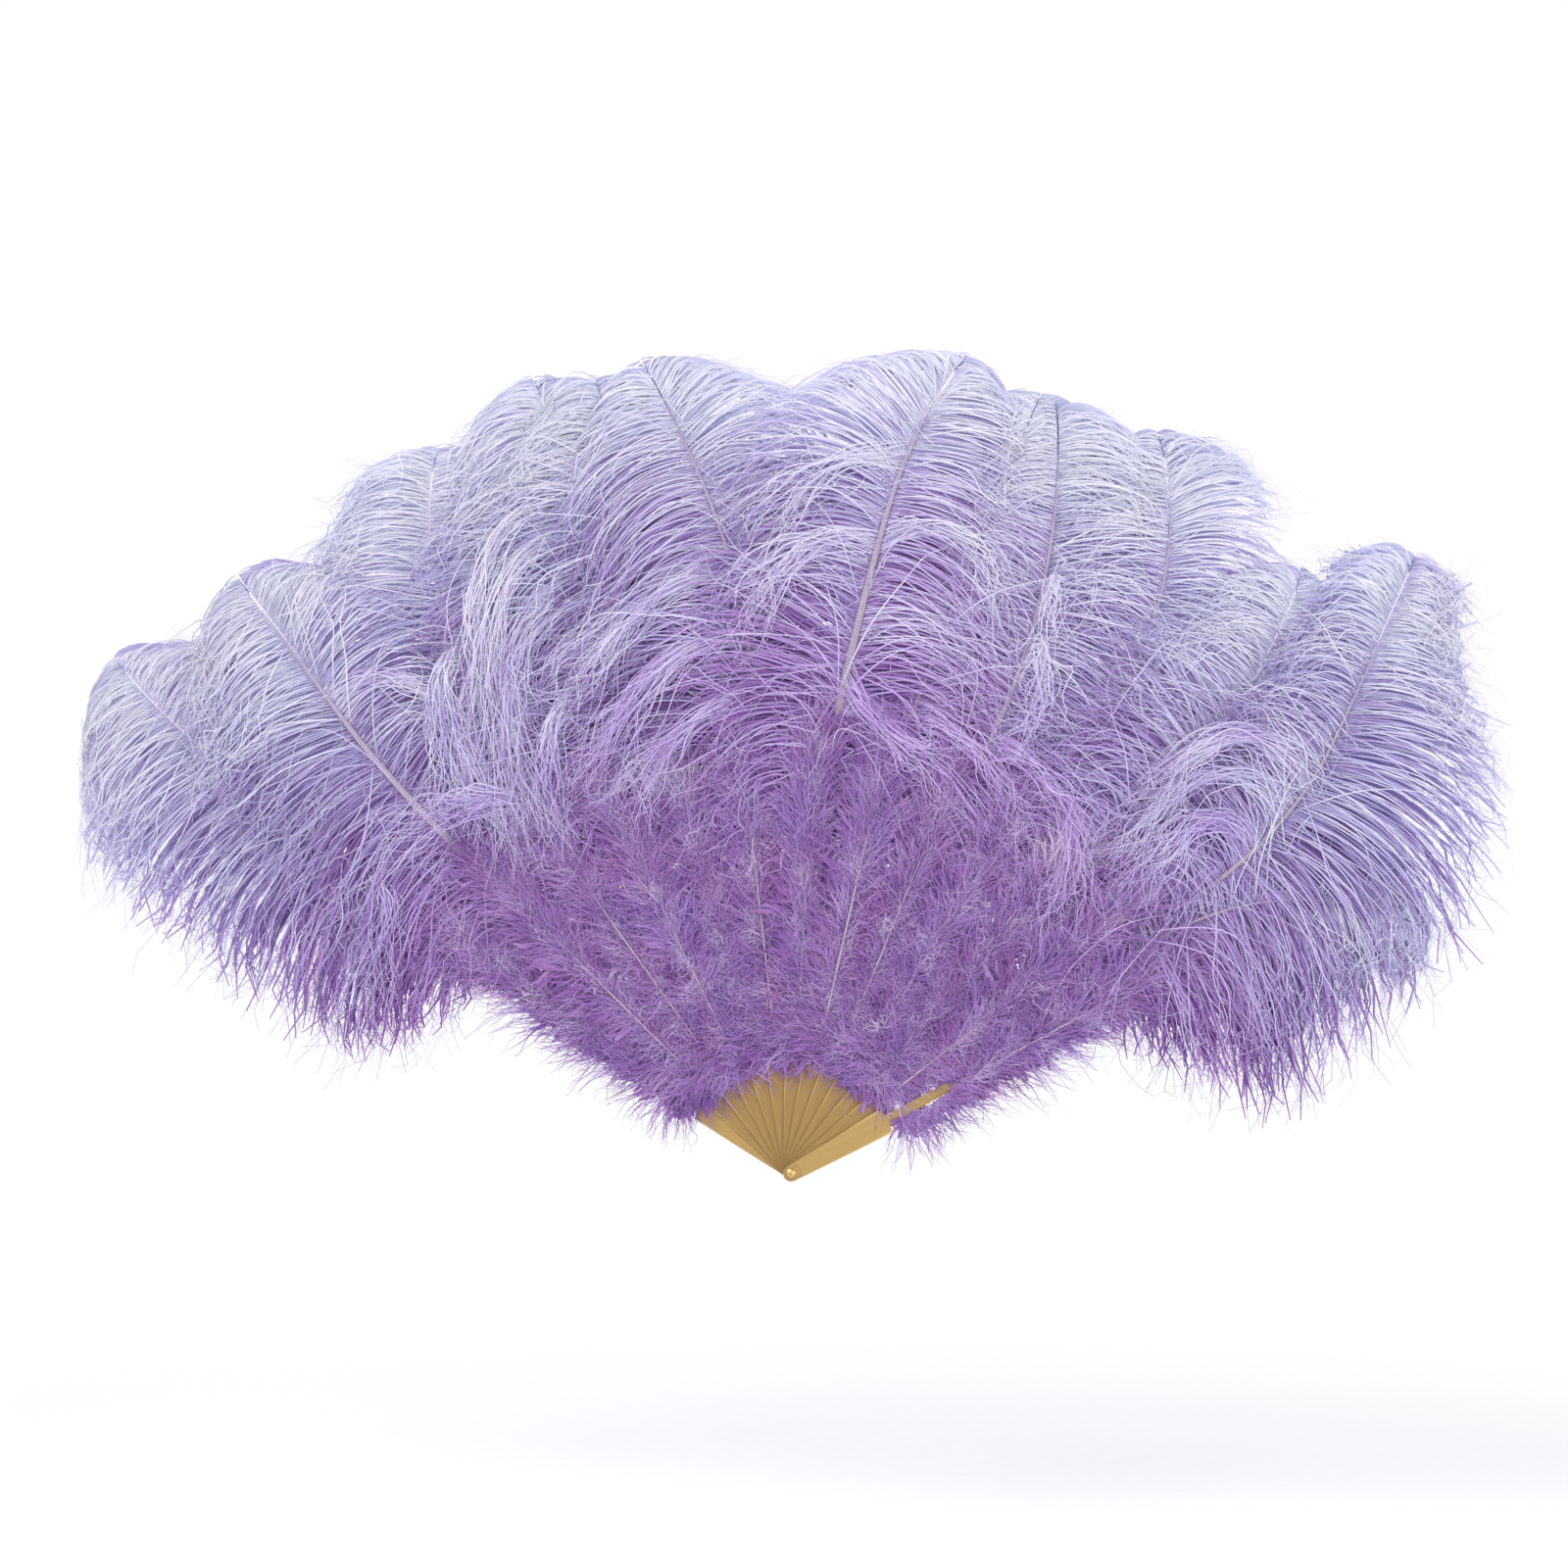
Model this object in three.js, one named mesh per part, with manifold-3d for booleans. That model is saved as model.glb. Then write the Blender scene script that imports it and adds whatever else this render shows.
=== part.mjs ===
// A large folding feather fan, open as it is held up: thirteen flat sticks turn on one
// rivet, and each stick carries a short fluffy feather and a long drooping plume.
// Millimetres, +Z up, the front towards -Y. The origin is on the rivet's axis, halfway
// through the stack of sticks.
import * as THREE from 'three';
import { mergeVertices } from 'three/addons/utils/BufferGeometryUtils.js';
import Module from 'manifold-3d';

const wasm = await Module();
wasm.setup();

// The fan as a whole
const stickCount = 13;
const backGuardDegrees = 145; // above +X, seen from the front
const openDegrees = 116; // from the back guard round to the front guard
const seatGap = 0.3; // between glued pieces, and between a feather and its neighbour
const stackGap = 0.35; // running gap between two sticks

// Sticks: a flat blade round the rivet, then a thin narrow tongue that carries the feathers
const stickThickness = 1.8;
const guardFaceHeight = 0.8; // by which the two outermost blades are thicker
const pivotEndRadius = 6;
const bladeLength = 84; // from the rivet's axis
const bladeWidth = 18;
const guardWidth = 20;
const bladeCorner = 4;
const tongueThickness = 0.8;
const tongueLength = 152; // beyond the blade
const tongueRootWidth = 8;
const tongueTipWidth = 5;
const tongueOverlap = 6; // how far it runs inside the blade
const cornerSteps = 3; // along a blade's corner
const roundSides = 16; // round the rivet
const overrun = 1; // by which a cut passes the face that it opens

// Rivet
const shankRadius = 1.6;
const boreClearance = 0.3;
const washerRadius = 5;
const washerThickness = 0.8;
const recessMargin = 3; // round the washer, in a guard's face
const headRadius = 3.8;
const headRim = 0.5; // the straight edge of a head, below its dome
const headDome = 0.8;
const headCrown = 0.4; // above the dome's shoulder
const shoulderShare = 0.6; // of the head's radius, where its crown starts

// Thread that links each stick to the next and stops the fan opening further
const threadSetback = 4; // beyond the blades
const threadWidth = 0.9;
const threadSteps = 5;
const threadOverhang = 1.6; // past the middle of each tongue

// Fluffy feathers, one glued on the front of each tongue
const fluffSetback = 10; // from the blade to the quill's end
const fluffBareQuill = 10;
const fluffVane = 236; // from its first barbs to its tip
const fluffBarb = 44; // longest barb
const fluffQuill = 1.6; // width
const fluffThickness = 1;

// Long plumes, one glued behind each tongue
const plumeSeat = 31; // how far a quill lies along its tongue
const plumeBareQuill = 53;
const plumeVane = 392; // from its first barbs to its tip, on the longest
const plumeBarb = 140; // longest barb
const plumeQuill = 2.2; // width
const quillThickness = 0.9;
const vaneThickness = 2.1;
const curlLength = 250; // the outer part of the longest plume, which curls back
const curlDepth = 42; // how far back its tip curls
const archGap = 1.5; // between an arched vane and the one in front of it
const archRamp = 30; // over which the arch comes in, beyond the fluffy feathers
const flatterShare = 0.3; // of the arch, lost in every second pair of barbs
const archEndShare = 0.72; // of the vane, where the arch has gone out again
const archFadeShare = 0.35; // of the vane, over which it goes

// One row for each plume, from the back guard to the front guard: the length of its vane, as
// a share of plumeVane, and of its longest barbs on the left and on the right, as shares of
// plumeBarb.
const plumeShares = [
  [0.975, 0.95, 0.75],
  [0.892, 0.95, 0.85],
  [0.884, 0.9, 0.9],
  [0.925, 0.95, 0.9],
  [0.892, 0.9, 0.9],
  [0.901, 1.05, 0.95],
  [0.925, 1.05, 1.05],
  [0.884, 0.7, 0.85],
  [0.876, 0.6, 0.95],
  [0.901, 0.75, 0.95],
  [0.82, 0.75, 0.85],
  [0.995, 0.65, 1.25],
  [0.619, 0.75, 0.85],
];

// By how much each shaft has left its stick's line at its tip: in proportion to the way
// along it, in proportion to its square, and all close to the tip.
const shaftDegrees = [
  [0.3, -0.3, -1],
  [5.2, -7.9, 1],
  [-1, -5, -2],
  [-5, -5.3, 2.3],
  [-2.7, -0.6, 0.8],
  [-12, 16, -1],
  [-8.6, 1.9, -1.6],
  [-6, 1, 0],
  [-12, 15, -0.6],
  [-15.5, 18.8, 0.7],
  [-12, 12.5, 0],
  [-22.8, 31.5, -3.5],
  [20, -26, 0],
];

// How a feather's barbs stand and hang, as turns in radians
const plumeBarbs = { rootTurn: 1.35, tipTurn: 1.2, hang: 1.4, rings: 14, steps: 3 };
const fluffBarbs = { rootTurn: 1.05, tipTurn: 0.5, hang: 0.3, rings: 9, steps: 2 };
const endDegrees = 7; // between the shaft and its last pair of barbs, which carry it on
const curlShare = 0.72; // of the way along a shaft, where its tip starts to curl
const crowdingExponent = 1.4; // above one, the pairs of barbs stand closer towards the tip
const bluntExponent = 5; // the higher, the blunter a feather's end
const rootBarbShare = 0.3; // of the longest barb, where the vane starts
const swellShare = 0.25; // of the vane, over which its barbs reach their full length
const endBarbShare = 0.12; // of the longest barb, at the tip
const toothShare = 0.08; // how much shorter every second barb is
const thinningShare = 0.2; // of the thickness, lost at each face towards a barb's end

// Materials
const feather = (colour) =>
  new THREE.MeshStandardMaterial({ color: colour, roughness: 0.85, side: THREE.DoubleSide });
const plumeMaterial = feather('#b9a5d6');
const fluffMaterial = feather('#9a78b8');
const stickMaterial = new THREE.MeshStandardMaterial({ color: '#b99a5c', roughness: 0.42 });
const guardMaterial = new THREE.MeshStandardMaterial({ color: '#c6b06a', roughness: 0.4 });
const threadMaterial = new THREE.MeshStandardMaterial({ color: '#a58bc4', roughness: 0.8 });
const rivetMaterial = new THREE.MeshStandardMaterial({
  color: '#c8b070',
  roughness: 0.3,
  metalness: 1,
});

const middleStick = (stickCount - 1) / 2;
const stepDegrees = openDegrees / (stickCount - 1);
const bladePitch = stickThickness + stackGap;
const rootFluff = bladePitch - tongueThickness - 2 * seatGap;
const threadRadius = bladeLength + threadSetback;
const fluffStart = bladeLength + fluffSetback;
const fluffVaneStart = fluffStart + fluffBareQuill;
const tongueEnd = bladeLength + tongueLength;
const plumeStart = tongueEnd - plumeSeat;
const plumeVaneStart = plumeStart + plumeBareQuill;
const plumeReach = plumeVaneStart + plumeVane;
const curlStart = plumeReach - curlLength;
const archStart = fluffVaneStart + fluffVane + archGap;

// Where the plumes start, a layer holds a tongue, both its feathers and their gaps.
const layerRoom = tongueThickness + fluffThickness + quillThickness + 4 * seatGap;
const pitchGrowth = (layerRoom - bladePitch) / (plumeStart - fluffStart);

function blend(from, to, share) {
  return from + (to - from) * Math.min(Math.max(share, 0), 1);
}

// From one layer to the next, at a distance from the rivet. The sticks are stacked close on
// the rivet, and the feathers push their tongues apart further out.
function pitchAt(radius) {
  return bladePitch + pitchGrowth * Math.max(radius - fluffStart, 0);
}

// The middle of a stick's layer, where the plumes curl back further out. It depends on the
// distance from the rivet alone, so the layers pass one another as the fan folds.
function layerAt(stick, radius) {
  const curl = Math.max(radius - curlStart, 0) / curlLength;
  return (middleStick - stick) * pitchAt(radius) + curlDepth * curl ** 2;
}

// How far a vane can arch forward and stay in its own layer
function archRoomAt(radius) {
  const room = pitchAt(radius) - vaneThickness - archGap;
  return blend(0, room, (radius - archStart) / archRamp);
}

function geometryOf(points, triangles) {
  const geometry = new THREE.BufferGeometry();
  const flat = points.flatMap((p) => [p.x, p.y, p.z]);
  geometry.setAttribute('position', new THREE.Float32BufferAttribute(flat, 3));
  geometry.setIndex(triangles.flat());
  return geometry;
}

function solidOf(geometry) {
  const bare = geometry.clone();
  bare.deleteAttribute('normal');
  bare.deleteAttribute('uv');
  const merged = mergeVertices(bare);
  return new wasm.Manifold(
    new wasm.Mesh({
      numProp: 3,
      vertProperties: new Float32Array(merged.attributes.position.array),
      triVerts: new Uint32Array(merged.index.array),
    }),
  );
}

function geometryFrom(solid) {
  const mesh = solid.getMesh();
  const geometry = new THREE.BufferGeometry();
  geometry.setAttribute('position', new THREE.BufferAttribute(mesh.vertProperties, 3));
  geometry.setIndex(new THREE.BufferAttribute(mesh.triVerts, 1));
  return geometry;
}

// A closed body through rings of points. Each ring lists its front points from one edge to
// the other, then its back points the other way, and an edge point is shared by both. Front
// and back are split along the same diagonals, so a twisted vane stays as thick as it is.
function loft(rings) {
  const count = rings[0].length;
  const points = rings.flat();
  const triangles = [];
  for (let r = 0; r + 1 < rings.length; r += 1) {
    for (let i = 0; i < count; i += 1) {
      const next = (i + 1) % count;
      const a = r * count + i;
      const b = r * count + next;
      const front = i < count / 2;
      if (front) triangles.push([a, b, a + count], [b, b + count, a + count]);
      else triangles.push([a, b, b + count], [a, b + count, a + count]);
    }
  }
  const cap = (first, turned) => {
    const half = count / 2;
    for (let i = 0; i < half; i += 1) {
      const back = (i2) => (count - i2) % count;
      const quad = [i, i + 1, back(i + 1), back(i)].map((v) => first + v);
      const sides = [
        [quad[0], quad[2], quad[1]],
        [quad[0], quad[3], quad[2]],
      ];
      for (const side of sides) {
        const real = new Set(side).size === 3;
        if (real) triangles.push(turned ? side.toReversed() : side);
      }
    }
  };
  cap(0, false);
  cap((rings.length - 1) * count, true);
  const geometry = geometryOf(points, triangles);
  if (solidOf(geometry).volume() < 0)
    return geometryOf(points, triangles.map((t) => t.toReversed()));
  return geometry;
}

// A mesh that keeps to its place in its stick's group, which turns with the stick.
function named(name, geometry, material) {
  const mesh = new THREE.Mesh(geometry, material);
  mesh.name = name;
  return mesh;
}

// A blade runs along +X from the rivet, with its bore round the Y axis. Its inner face
// stays where every stick's is, and outwards tells on which side a guard is thicker.
function bladeGeometry(width, thickness, outwards) {
  const half = width / 2;
  const shoulder = bladeLength - bladeCorner;
  const quarter = Math.PI / 2;
  const outline = arcPoints(0, 0, pivotEndRadius, quarter, 3 * quarter, 2 * cornerSteps);
  outline.push(...arcPoints(shoulder, bladeCorner - half, bladeCorner, -quarter, 0, cornerSteps));
  outline.push(...arcPoints(shoulder, half - bladeCorner, bladeCorner, 0, quarter, cornerSteps));
  const shape = new THREE.Shape(outline);
  const bore = shankRadius + boreClearance;
  shape.holes.push(new THREE.Path(arcPoints(0, 0, bore, 0, 4 * quarter, roundSides).slice(1)));
  const geometry = new THREE.ExtrudeGeometry(shape, { depth: thickness, bevelEnabled: false });
  geometry.rotateX(quarter); // the outline's depth now runs towards -Y
  const middle = (outwards * (thickness - stickThickness)) / 2;
  geometry.translate(0, middle + thickness / 2, 0);
  return geometry;
}

function arcPoints(x, y, radius, from, to, steps) {
  return Array.from({ length: steps + 1 }, (_, i) => {
    const turn = from + ((to - from) * i) / steps;
    return new THREE.Vector2(x + radius * Math.cos(turn), y + radius * Math.sin(turn));
  });
}

// A guard's outer face is cut back round the rivet, so that the washer seats as low as on
// any stick.
function recessGeometry(outwards) {
  const depth = guardFaceHeight + overrun;
  const radius = washerRadius + recessMargin;
  const geometry = new THREE.CylinderGeometry(radius, radius, depth, roundSides);
  geometry.translate(0, (outwards * (stickThickness + depth)) / 2, 0);
  return geometry;
}

function tongueGeometry(stick) {
  const half = tongueThickness / 2;
  const stations = [bladeLength - tongueOverlap, bladeLength, fluffStart, plumeStart, tongueEnd];
  const rings = stations.map((along) => {
    const share = (along - bladeLength) / tongueLength;
    const side = blend(tongueRootWidth, tongueTipWidth, share) / 2;
    const y = layerAt(stick, along) - layerAt(stick, 0);
    return [
      new THREE.Vector3(along, y - half, -side),
      new THREE.Vector3(along, y - half, side),
      new THREE.Vector3(along, y + half, side),
      new THREE.Vector3(along, y + half, -side),
    ];
  });
  return rectangleLoft(rings);
}

// A closed body through rings of four corners.
function rectangleLoft(rings) {
  const points = rings.flat();
  const last = (rings.length - 1) * 4;
  const triangles = [
    [0, 2, 1],
    [0, 3, 2],
    [last, last + 1, last + 2],
    [last, last + 2, last + 3],
  ];
  for (let first = 0; first < last; first += 4) {
    for (let i = 0; i < 4; i += 1) {
      const a = first + i;
      const b = first + ((i + 1) % 4);
      triangles.push([a, b, b + 4], [a, b + 4, a + 4]);
    }
  }
  const geometry = geometryOf(points, triangles);
  if (solidOf(geometry).volume() < 0)
    return geometryOf(points, triangles.map((t) => t.toReversed()));
  return geometry;
}

function stickMesh(stick) {
  const guard = stick === 0 || stick === stickCount - 1;
  const outwards = stick === 0 ? 1 : -1;
  const tongue = solidOf(tongueGeometry(stick));
  let whole = null;
  if (guard) {
    const thickness = stickThickness + guardFaceHeight;
    const blade = solidOf(bladeGeometry(guardWidth, thickness, outwards));
    whole = blade.subtract(solidOf(recessGeometry(outwards))).add(tongue);
  } else {
    whole = solidOf(bladeGeometry(bladeWidth, stickThickness, outwards)).add(tongue);
  }
  const mesh = named(stickName(stick), geometryFrom(whole), guard ? guardMaterial : stickMaterial);
  mesh.position.y = layerAt(stick, 0);
  return mesh;
}

function numbered(name, stick) {
  return `${name}_${String(stick + 1).padStart(2, '0')}`;
}

function stickName(stick) {
  if (stick === 0) return 'guard_back';
  return stick === stickCount - 1 ? 'guard_front' : numbered('stick', stick);
}

// One feather in its stick's frame, where the stick runs along +X and gravity pulls at
// downAngle. Its rings are pairs of barbs: each leaves the shaft at an angle, and bends
// towards the ground by as much as gravity lies across it.
function featherGeometry(stick, f) {
  const shaftAt = (along) => {
    const share = (along - f.start) / (f.reach - f.start);
    const [lean, bow, curl] = f.shaftDegrees;
    const tip = Math.max(share - curlShare, 0) / (1 - curlShare);
    const turn = THREE.MathUtils.degToRad(lean * share + bow * share ** 2 + curl * tip ** 2);
    return new THREE.Vector2(along * Math.cos(turn), along * Math.sin(turn));
  };
  const directionAt = (along) => {
    const step = (f.reach - f.start) / (f.barbs.rings * 4);
    const ahead = shaftAt(along + step).sub(shaftAt(along - step));
    return Math.atan2(ahead.y, ahead.x);
  };
  const barbPoints = (along, side, length, turn) => {
    const steps = f.barbs.steps;
    let heading = directionAt(along) + side * turn;
    const at = shaftAt(along);
    const points = [at.clone()];
    for (let i = 0; i < steps; i += 1) {
      heading += (f.barbs.hang / steps) * Math.sin(f.downAngle - heading);
      at.x += (length / steps) * Math.cos(heading);
      at.y += (length / steps) * Math.sin(heading);
      points.push(at.clone());
    }
    return points;
  };
  const place = (point, across, arch) => {
    const radius = point.length();
    const y = layerAt(stick, radius) + f.offset - arch * archRoomAt(radius);
    return new THREE.Vector3(point.x, y + across, point.y);
  };
  const ring = (along, leftLength, rightLength, turn, thickness, arch) => {
    const left = barbPoints(along, 1, leftLength, turn).slice(1).reverse();
    const right = barbPoints(along, -1, rightLength, turn);
    const line = [...left, ...right];
    const middle = left.length;
    const near = line.map((p, i) => {
      const out = Math.abs(i - middle) / middle;
      const share = out === 1 ? 1 / 2 : out * thinningShare; // an edge is one point
      return place(p, f.side * thickness * share, arch * Math.sin(Math.PI * out));
    });
    const far = line.slice(1, -1).map((p, i) => {
      const out = Math.abs(i + 1 - middle) / middle;
      const share = 1 - out * thinningShare;
      return place(p, f.side * thickness * share, arch * Math.sin(Math.PI * out));
    });
    return [...near, ...far.reverse()];
  };
  const rings = [];
  for (const along of [f.start, (f.start + f.vaneStart) / 2]) {
    rings.push(ring(along, f.quill / 2, f.quill / 2, Math.PI / 2, f.rootThickness, 0));
  }
  for (let i = 0; i <= f.barbs.rings; i += 1) {
    const share = 1 - (1 - i / f.barbs.rings) ** crowdingExponent;
    const along = f.vaneStart + (f.reach - f.vaneStart) * share;
    const last = i === f.barbs.rings;
    const usual = blend(f.barbs.rootTurn, f.barbs.tipTurn, share);
    const turn = last ? THREE.MathUtils.degToRad(endDegrees) : usual;
    const tooth = 1 - toothShare * (i % 2);
    const swell = blend(rootBarbShare, 1, share / swellShare) * tooth;
    const length = f.barb * Math.max(Math.sqrt(1 - share ** bluntExponent), endBarbShare) * swell;
    const thickness = blend(f.rootThickness, f.thickness, share / swellShare);
    const fade = blend(0, 1, (archEndShare - share) / archFadeShare);
    const arch = f.arch * fade * (1 - flatterShare * (i % 2));
    rings.push(ring(along, length * f.leftShare, length * f.rightShare, turn, thickness, arch));
  }
  return loft(rings);
}

function plumeMesh(stick, downAngle) {
  const [vaneShare, leftShare, rightShare] = plumeShares[stick];
  const geometry = featherGeometry(stick, {
    shaftDegrees: shaftDegrees[stick],
    leftShare,
    rightShare,
    downAngle,
    start: plumeStart,
    reach: plumeVaneStart + plumeVane * vaneShare,
    vaneStart: plumeVaneStart,
    barb: plumeBarb,
    quill: plumeQuill,
    rootThickness: quillThickness,
    thickness: vaneThickness,
    offset: tongueThickness / 2 + seatGap,
    side: 1,
    arch: 1,
    barbs: plumeBarbs,
  });
  return named(numbered('plume', stick), geometry, plumeMaterial);
}

function fluffMesh(stick, downAngle) {
  const geometry = featherGeometry(stick, {
    shaftDegrees: [0, 0, 0],
    leftShare: 1,
    rightShare: 1,
    downAngle,
    start: fluffStart,
    reach: fluffVaneStart + fluffVane,
    vaneStart: fluffVaneStart,
    barb: fluffBarb,
    quill: fluffQuill,
    rootThickness: rootFluff,
    thickness: fluffThickness,
    offset: -tongueThickness / 2 - seatGap,
    side: -1,
    arch: 0,
    barbs: fluffBarbs,
  });
  return named(numbered('fluff_feather', stick), geometry, fluffMaterial);
}

// A span of thread from this stick's tongue, across its front, to behind the next tongue.
function threadMesh(stick) {
  const back = layerAt(stick, threadRadius) - tongueThickness / 2 - seatGap;
  const front = back - rootFluff;
  const overhang = threadOverhang / threadRadius;
  const from = overhang;
  const to = -THREE.MathUtils.degToRad(stepDegrees) - overhang;
  const rings = [];
  for (let i = 0; i <= threadSteps; i += 1) {
    const turn = from + ((to - from) * i) / threadSteps;
    const at = (radius, y) =>
      new THREE.Vector3(radius * Math.cos(turn), y, radius * Math.sin(turn));
    const inner = threadRadius - threadWidth / 2;
    const outer = threadRadius + threadWidth / 2;
    rings.push([at(inner, front), at(outer, front), at(outer, back), at(inner, back)]);
  }
  return named(numbered('link_thread', stick), rectangleLoft(rings), threadMaterial);
}

// A profile turned round the rivet's axis, given as [radius, y] pairs from the axis out.
function turned(name, profile, material) {
  const geometry = new THREE.LatheGeometry(
    profile.map(([radius, y]) => new THREE.Vector2(radius, y)),
    roundSides,
  );
  return named(name, geometry, material);
}

function rivetMeshes() {
  const washerInner = layerAt(0, 0) + stickThickness / 2 + seatGap;
  const washerOuter = washerInner + washerThickness;
  const headBase = washerOuter + seatGap;
  const rim = headBase + headRim;
  const shoulder = rim + headDome;
  const crown = shoulder + headCrown;
  const half = [
    [shankRadius, headBase],
    [headRadius, headBase],
    [headRadius, rim],
    [headRadius * shoulderShare, shoulder],
    [0, crown],
  ];
  const otherHalf = half.map(([radius, y]) => [radius, -y]).reverse();
  const hole = shankRadius + boreClearance;
  const washer = (low, high) => [
    [hole, low],
    [washerRadius, low],
    [washerRadius, high],
    [hole, high],
    [hole, low],
  ];
  return [
    turned('rivet_pin', [...otherHalf, ...half], rivetMaterial),
    turned('rivet_washer_back', washer(washerInner, washerOuter), rivetMaterial),
    turned('rivet_washer_front', washer(-washerOuter, -washerInner), rivetMaterial),
  ];
}

const fan = new THREE.Group();
fan.add(...rivetMeshes());
for (let stick = 0; stick < stickCount; stick += 1) {
  const degrees = backGuardDegrees - stick * stepDegrees;
  const downAngle = THREE.MathUtils.degToRad(-90 - degrees);
  const group = new THREE.Group();
  group.rotation.y = THREE.MathUtils.degToRad(-degrees);
  group.add(stickMesh(stick), fluffMesh(stick, downAngle), plumeMesh(stick, downAngle));
  if (stick + 1 < stickCount) group.add(threadMesh(stick));
  fan.add(group);
}

export default fan;
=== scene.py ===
import bpy
import math
import numpy as np
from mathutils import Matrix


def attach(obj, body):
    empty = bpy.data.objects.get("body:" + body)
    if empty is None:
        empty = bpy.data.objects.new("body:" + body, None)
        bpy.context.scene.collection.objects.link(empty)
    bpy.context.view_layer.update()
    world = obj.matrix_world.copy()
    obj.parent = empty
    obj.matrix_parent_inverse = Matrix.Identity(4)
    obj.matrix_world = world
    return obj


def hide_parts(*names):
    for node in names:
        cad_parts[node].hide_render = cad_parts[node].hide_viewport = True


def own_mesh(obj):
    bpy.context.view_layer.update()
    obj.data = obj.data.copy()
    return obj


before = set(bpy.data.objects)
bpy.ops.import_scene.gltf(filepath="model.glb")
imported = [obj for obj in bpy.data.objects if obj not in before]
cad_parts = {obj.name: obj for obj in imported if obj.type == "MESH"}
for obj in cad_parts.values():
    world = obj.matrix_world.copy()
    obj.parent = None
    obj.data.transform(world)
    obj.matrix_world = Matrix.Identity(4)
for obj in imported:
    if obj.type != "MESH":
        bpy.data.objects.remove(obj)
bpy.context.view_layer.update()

# Lengths here are in millimetres, as the fan was designed, and meshes are in metres.
metresPerMm = 0.001

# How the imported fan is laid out, with the front towards -Y and the rivet on the Y axis
fan = {
    "stickCount": 13,
    "backGuardDegrees": 145,   # above +X, seen from the front
    "openDegrees": 116,        # from the back guard round to the front guard
    "pitch": 2.15,             # from one stick to the next, close to the rivet
    "pitchGrowth": 0.01577,    # of that pitch, for each mm further out
    "growthStart": 94,
    "curlStart": 400,          # the plumes curl back beyond this distance from the rivet
    "curlLength": 250,
    "curlDepth": 42,
    "tongueHalf": 0.4,         # half a tongue's thickness
    "gap": 0.3,                # between a tongue and its feather
    # Where strands are held back along x, y and z: from which place, and within what room
    "lowKnees": (-548, -46, -1000),
    "lowRooms": (14, 9, 1),
    "highKnees": (533, 98, 622),
    "highRooms": (14, 20, 14),
}
towardsFront = np.array([0.0, -1.0, 0.0])


# A stick's angle above +X in radians: equal steps down from the back guard's.
def stickTurn(stick):
    step = fan["openDegrees"] / (fan["stickCount"] - 1)
    return math.radians(fan["backGuardDegrees"] - step * stick)


# The depth of a stick's layer at a distance from the rivet: its place in the stack times a
# pitch that grows outwards, plus a curl that grows as the square of the distance.
def layerDepth(stick, radius):
    pitch = fan["pitch"] + fan["pitchGrowth"] * np.maximum(radius - fan["growthStart"], 0)
    curl = np.maximum(radius - fan["curlStart"], 0) / fan["curlLength"]
    return ((fan["stickCount"] - 1) / 2 - stick) * pitch + fan["curlDepth"] * curl ** 2


# Points along and across a stick, turned by the stick's angle and set on its layer.
def placeInFan(stick, plane, offset):
    turn = stickTurn(stick)
    along, across = plane[..., 0], plane[..., 1]
    x = along * math.cos(turn) - across * math.sin(turn)
    z = along * math.sin(turn) + across * math.cos(turn)
    y = layerDepth(stick, np.hypot(along, across)) + offset
    return np.stack([x, y, z], axis=-1)


# From 0 at low to 1 at high, with a level start and end.
def easeBetween(low, high, value):
    share = np.clip((value - low) / (high - low), 0, 1)
    return share * share * (3 - 2 * share)


def mixValues(low, high, share):
    return low + (high - low) * share


# An sRGB hex colour as linear values with full opacity.
def hexColour(code):
    channels = [int(code[i:i + 2], 16) / 255 for i in (1, 3, 5)]
    linear = [c / 12.92 if c <= 0.04045 else ((c + 0.055) / 1.055) ** 2.4 for c in channels]
    return (*linear, 1.0)


# Adds a shader node of a kind, with settings on the node, values and links on its sockets,
# and a ramp's stops.
def addNode(tree, kind, settings={}, values={}, links={}, stops=()):
    node = tree.nodes.new("ShaderNode" + kind)
    for name, value in settings.items():
        setattr(node, name, value)
    for socket, value in values.items():
        node.inputs[socket].default_value = value
    for socket, source in links.items():
        tree.links.new(source, node.inputs[socket])
    for i, (place, code) in enumerate(stops):
        elements = node.color_ramp.elements
        element = elements[i] if i < 2 else elements.new(place)
        element.position = place
        element.color = hexColour(code)
    return node


def emptyMaterial(name):
    material = bpy.data.materials.new(name)
    material.use_nodes = True
    material.node_tree.nodes.clear()
    return material, material.node_tree


# Camera
view = {
    "distance": 3200,          # from the fan's middle plane to the lens
    "middle": (-5.25, 297),    # the point of that plane in the middle of the picture, x and z
    "width": 1200,             # of that plane that the picture takes in
    "sensor": 36,
}
cameraData = bpy.data.cameras.new("camera")
cameraData.sensor_width = view["sensor"]
cameraData.lens = view["sensor"] * view["distance"] / view["width"]
camera = bpy.data.objects.new("camera", cameraData)
camera.location = (
    view["middle"][0] * metresPerMm,
    -view["distance"] * metresPerMm,
    view["middle"][1] * metresPerMm,
)
camera.rotation_euler = (math.pi / 2, 0, 0)
bpy.context.scene.collection.objects.link(camera)
bpy.context.scene.camera = camera
bpy.context.scene.view_settings.view_transform = "Standard"
print("camera placed")

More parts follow.
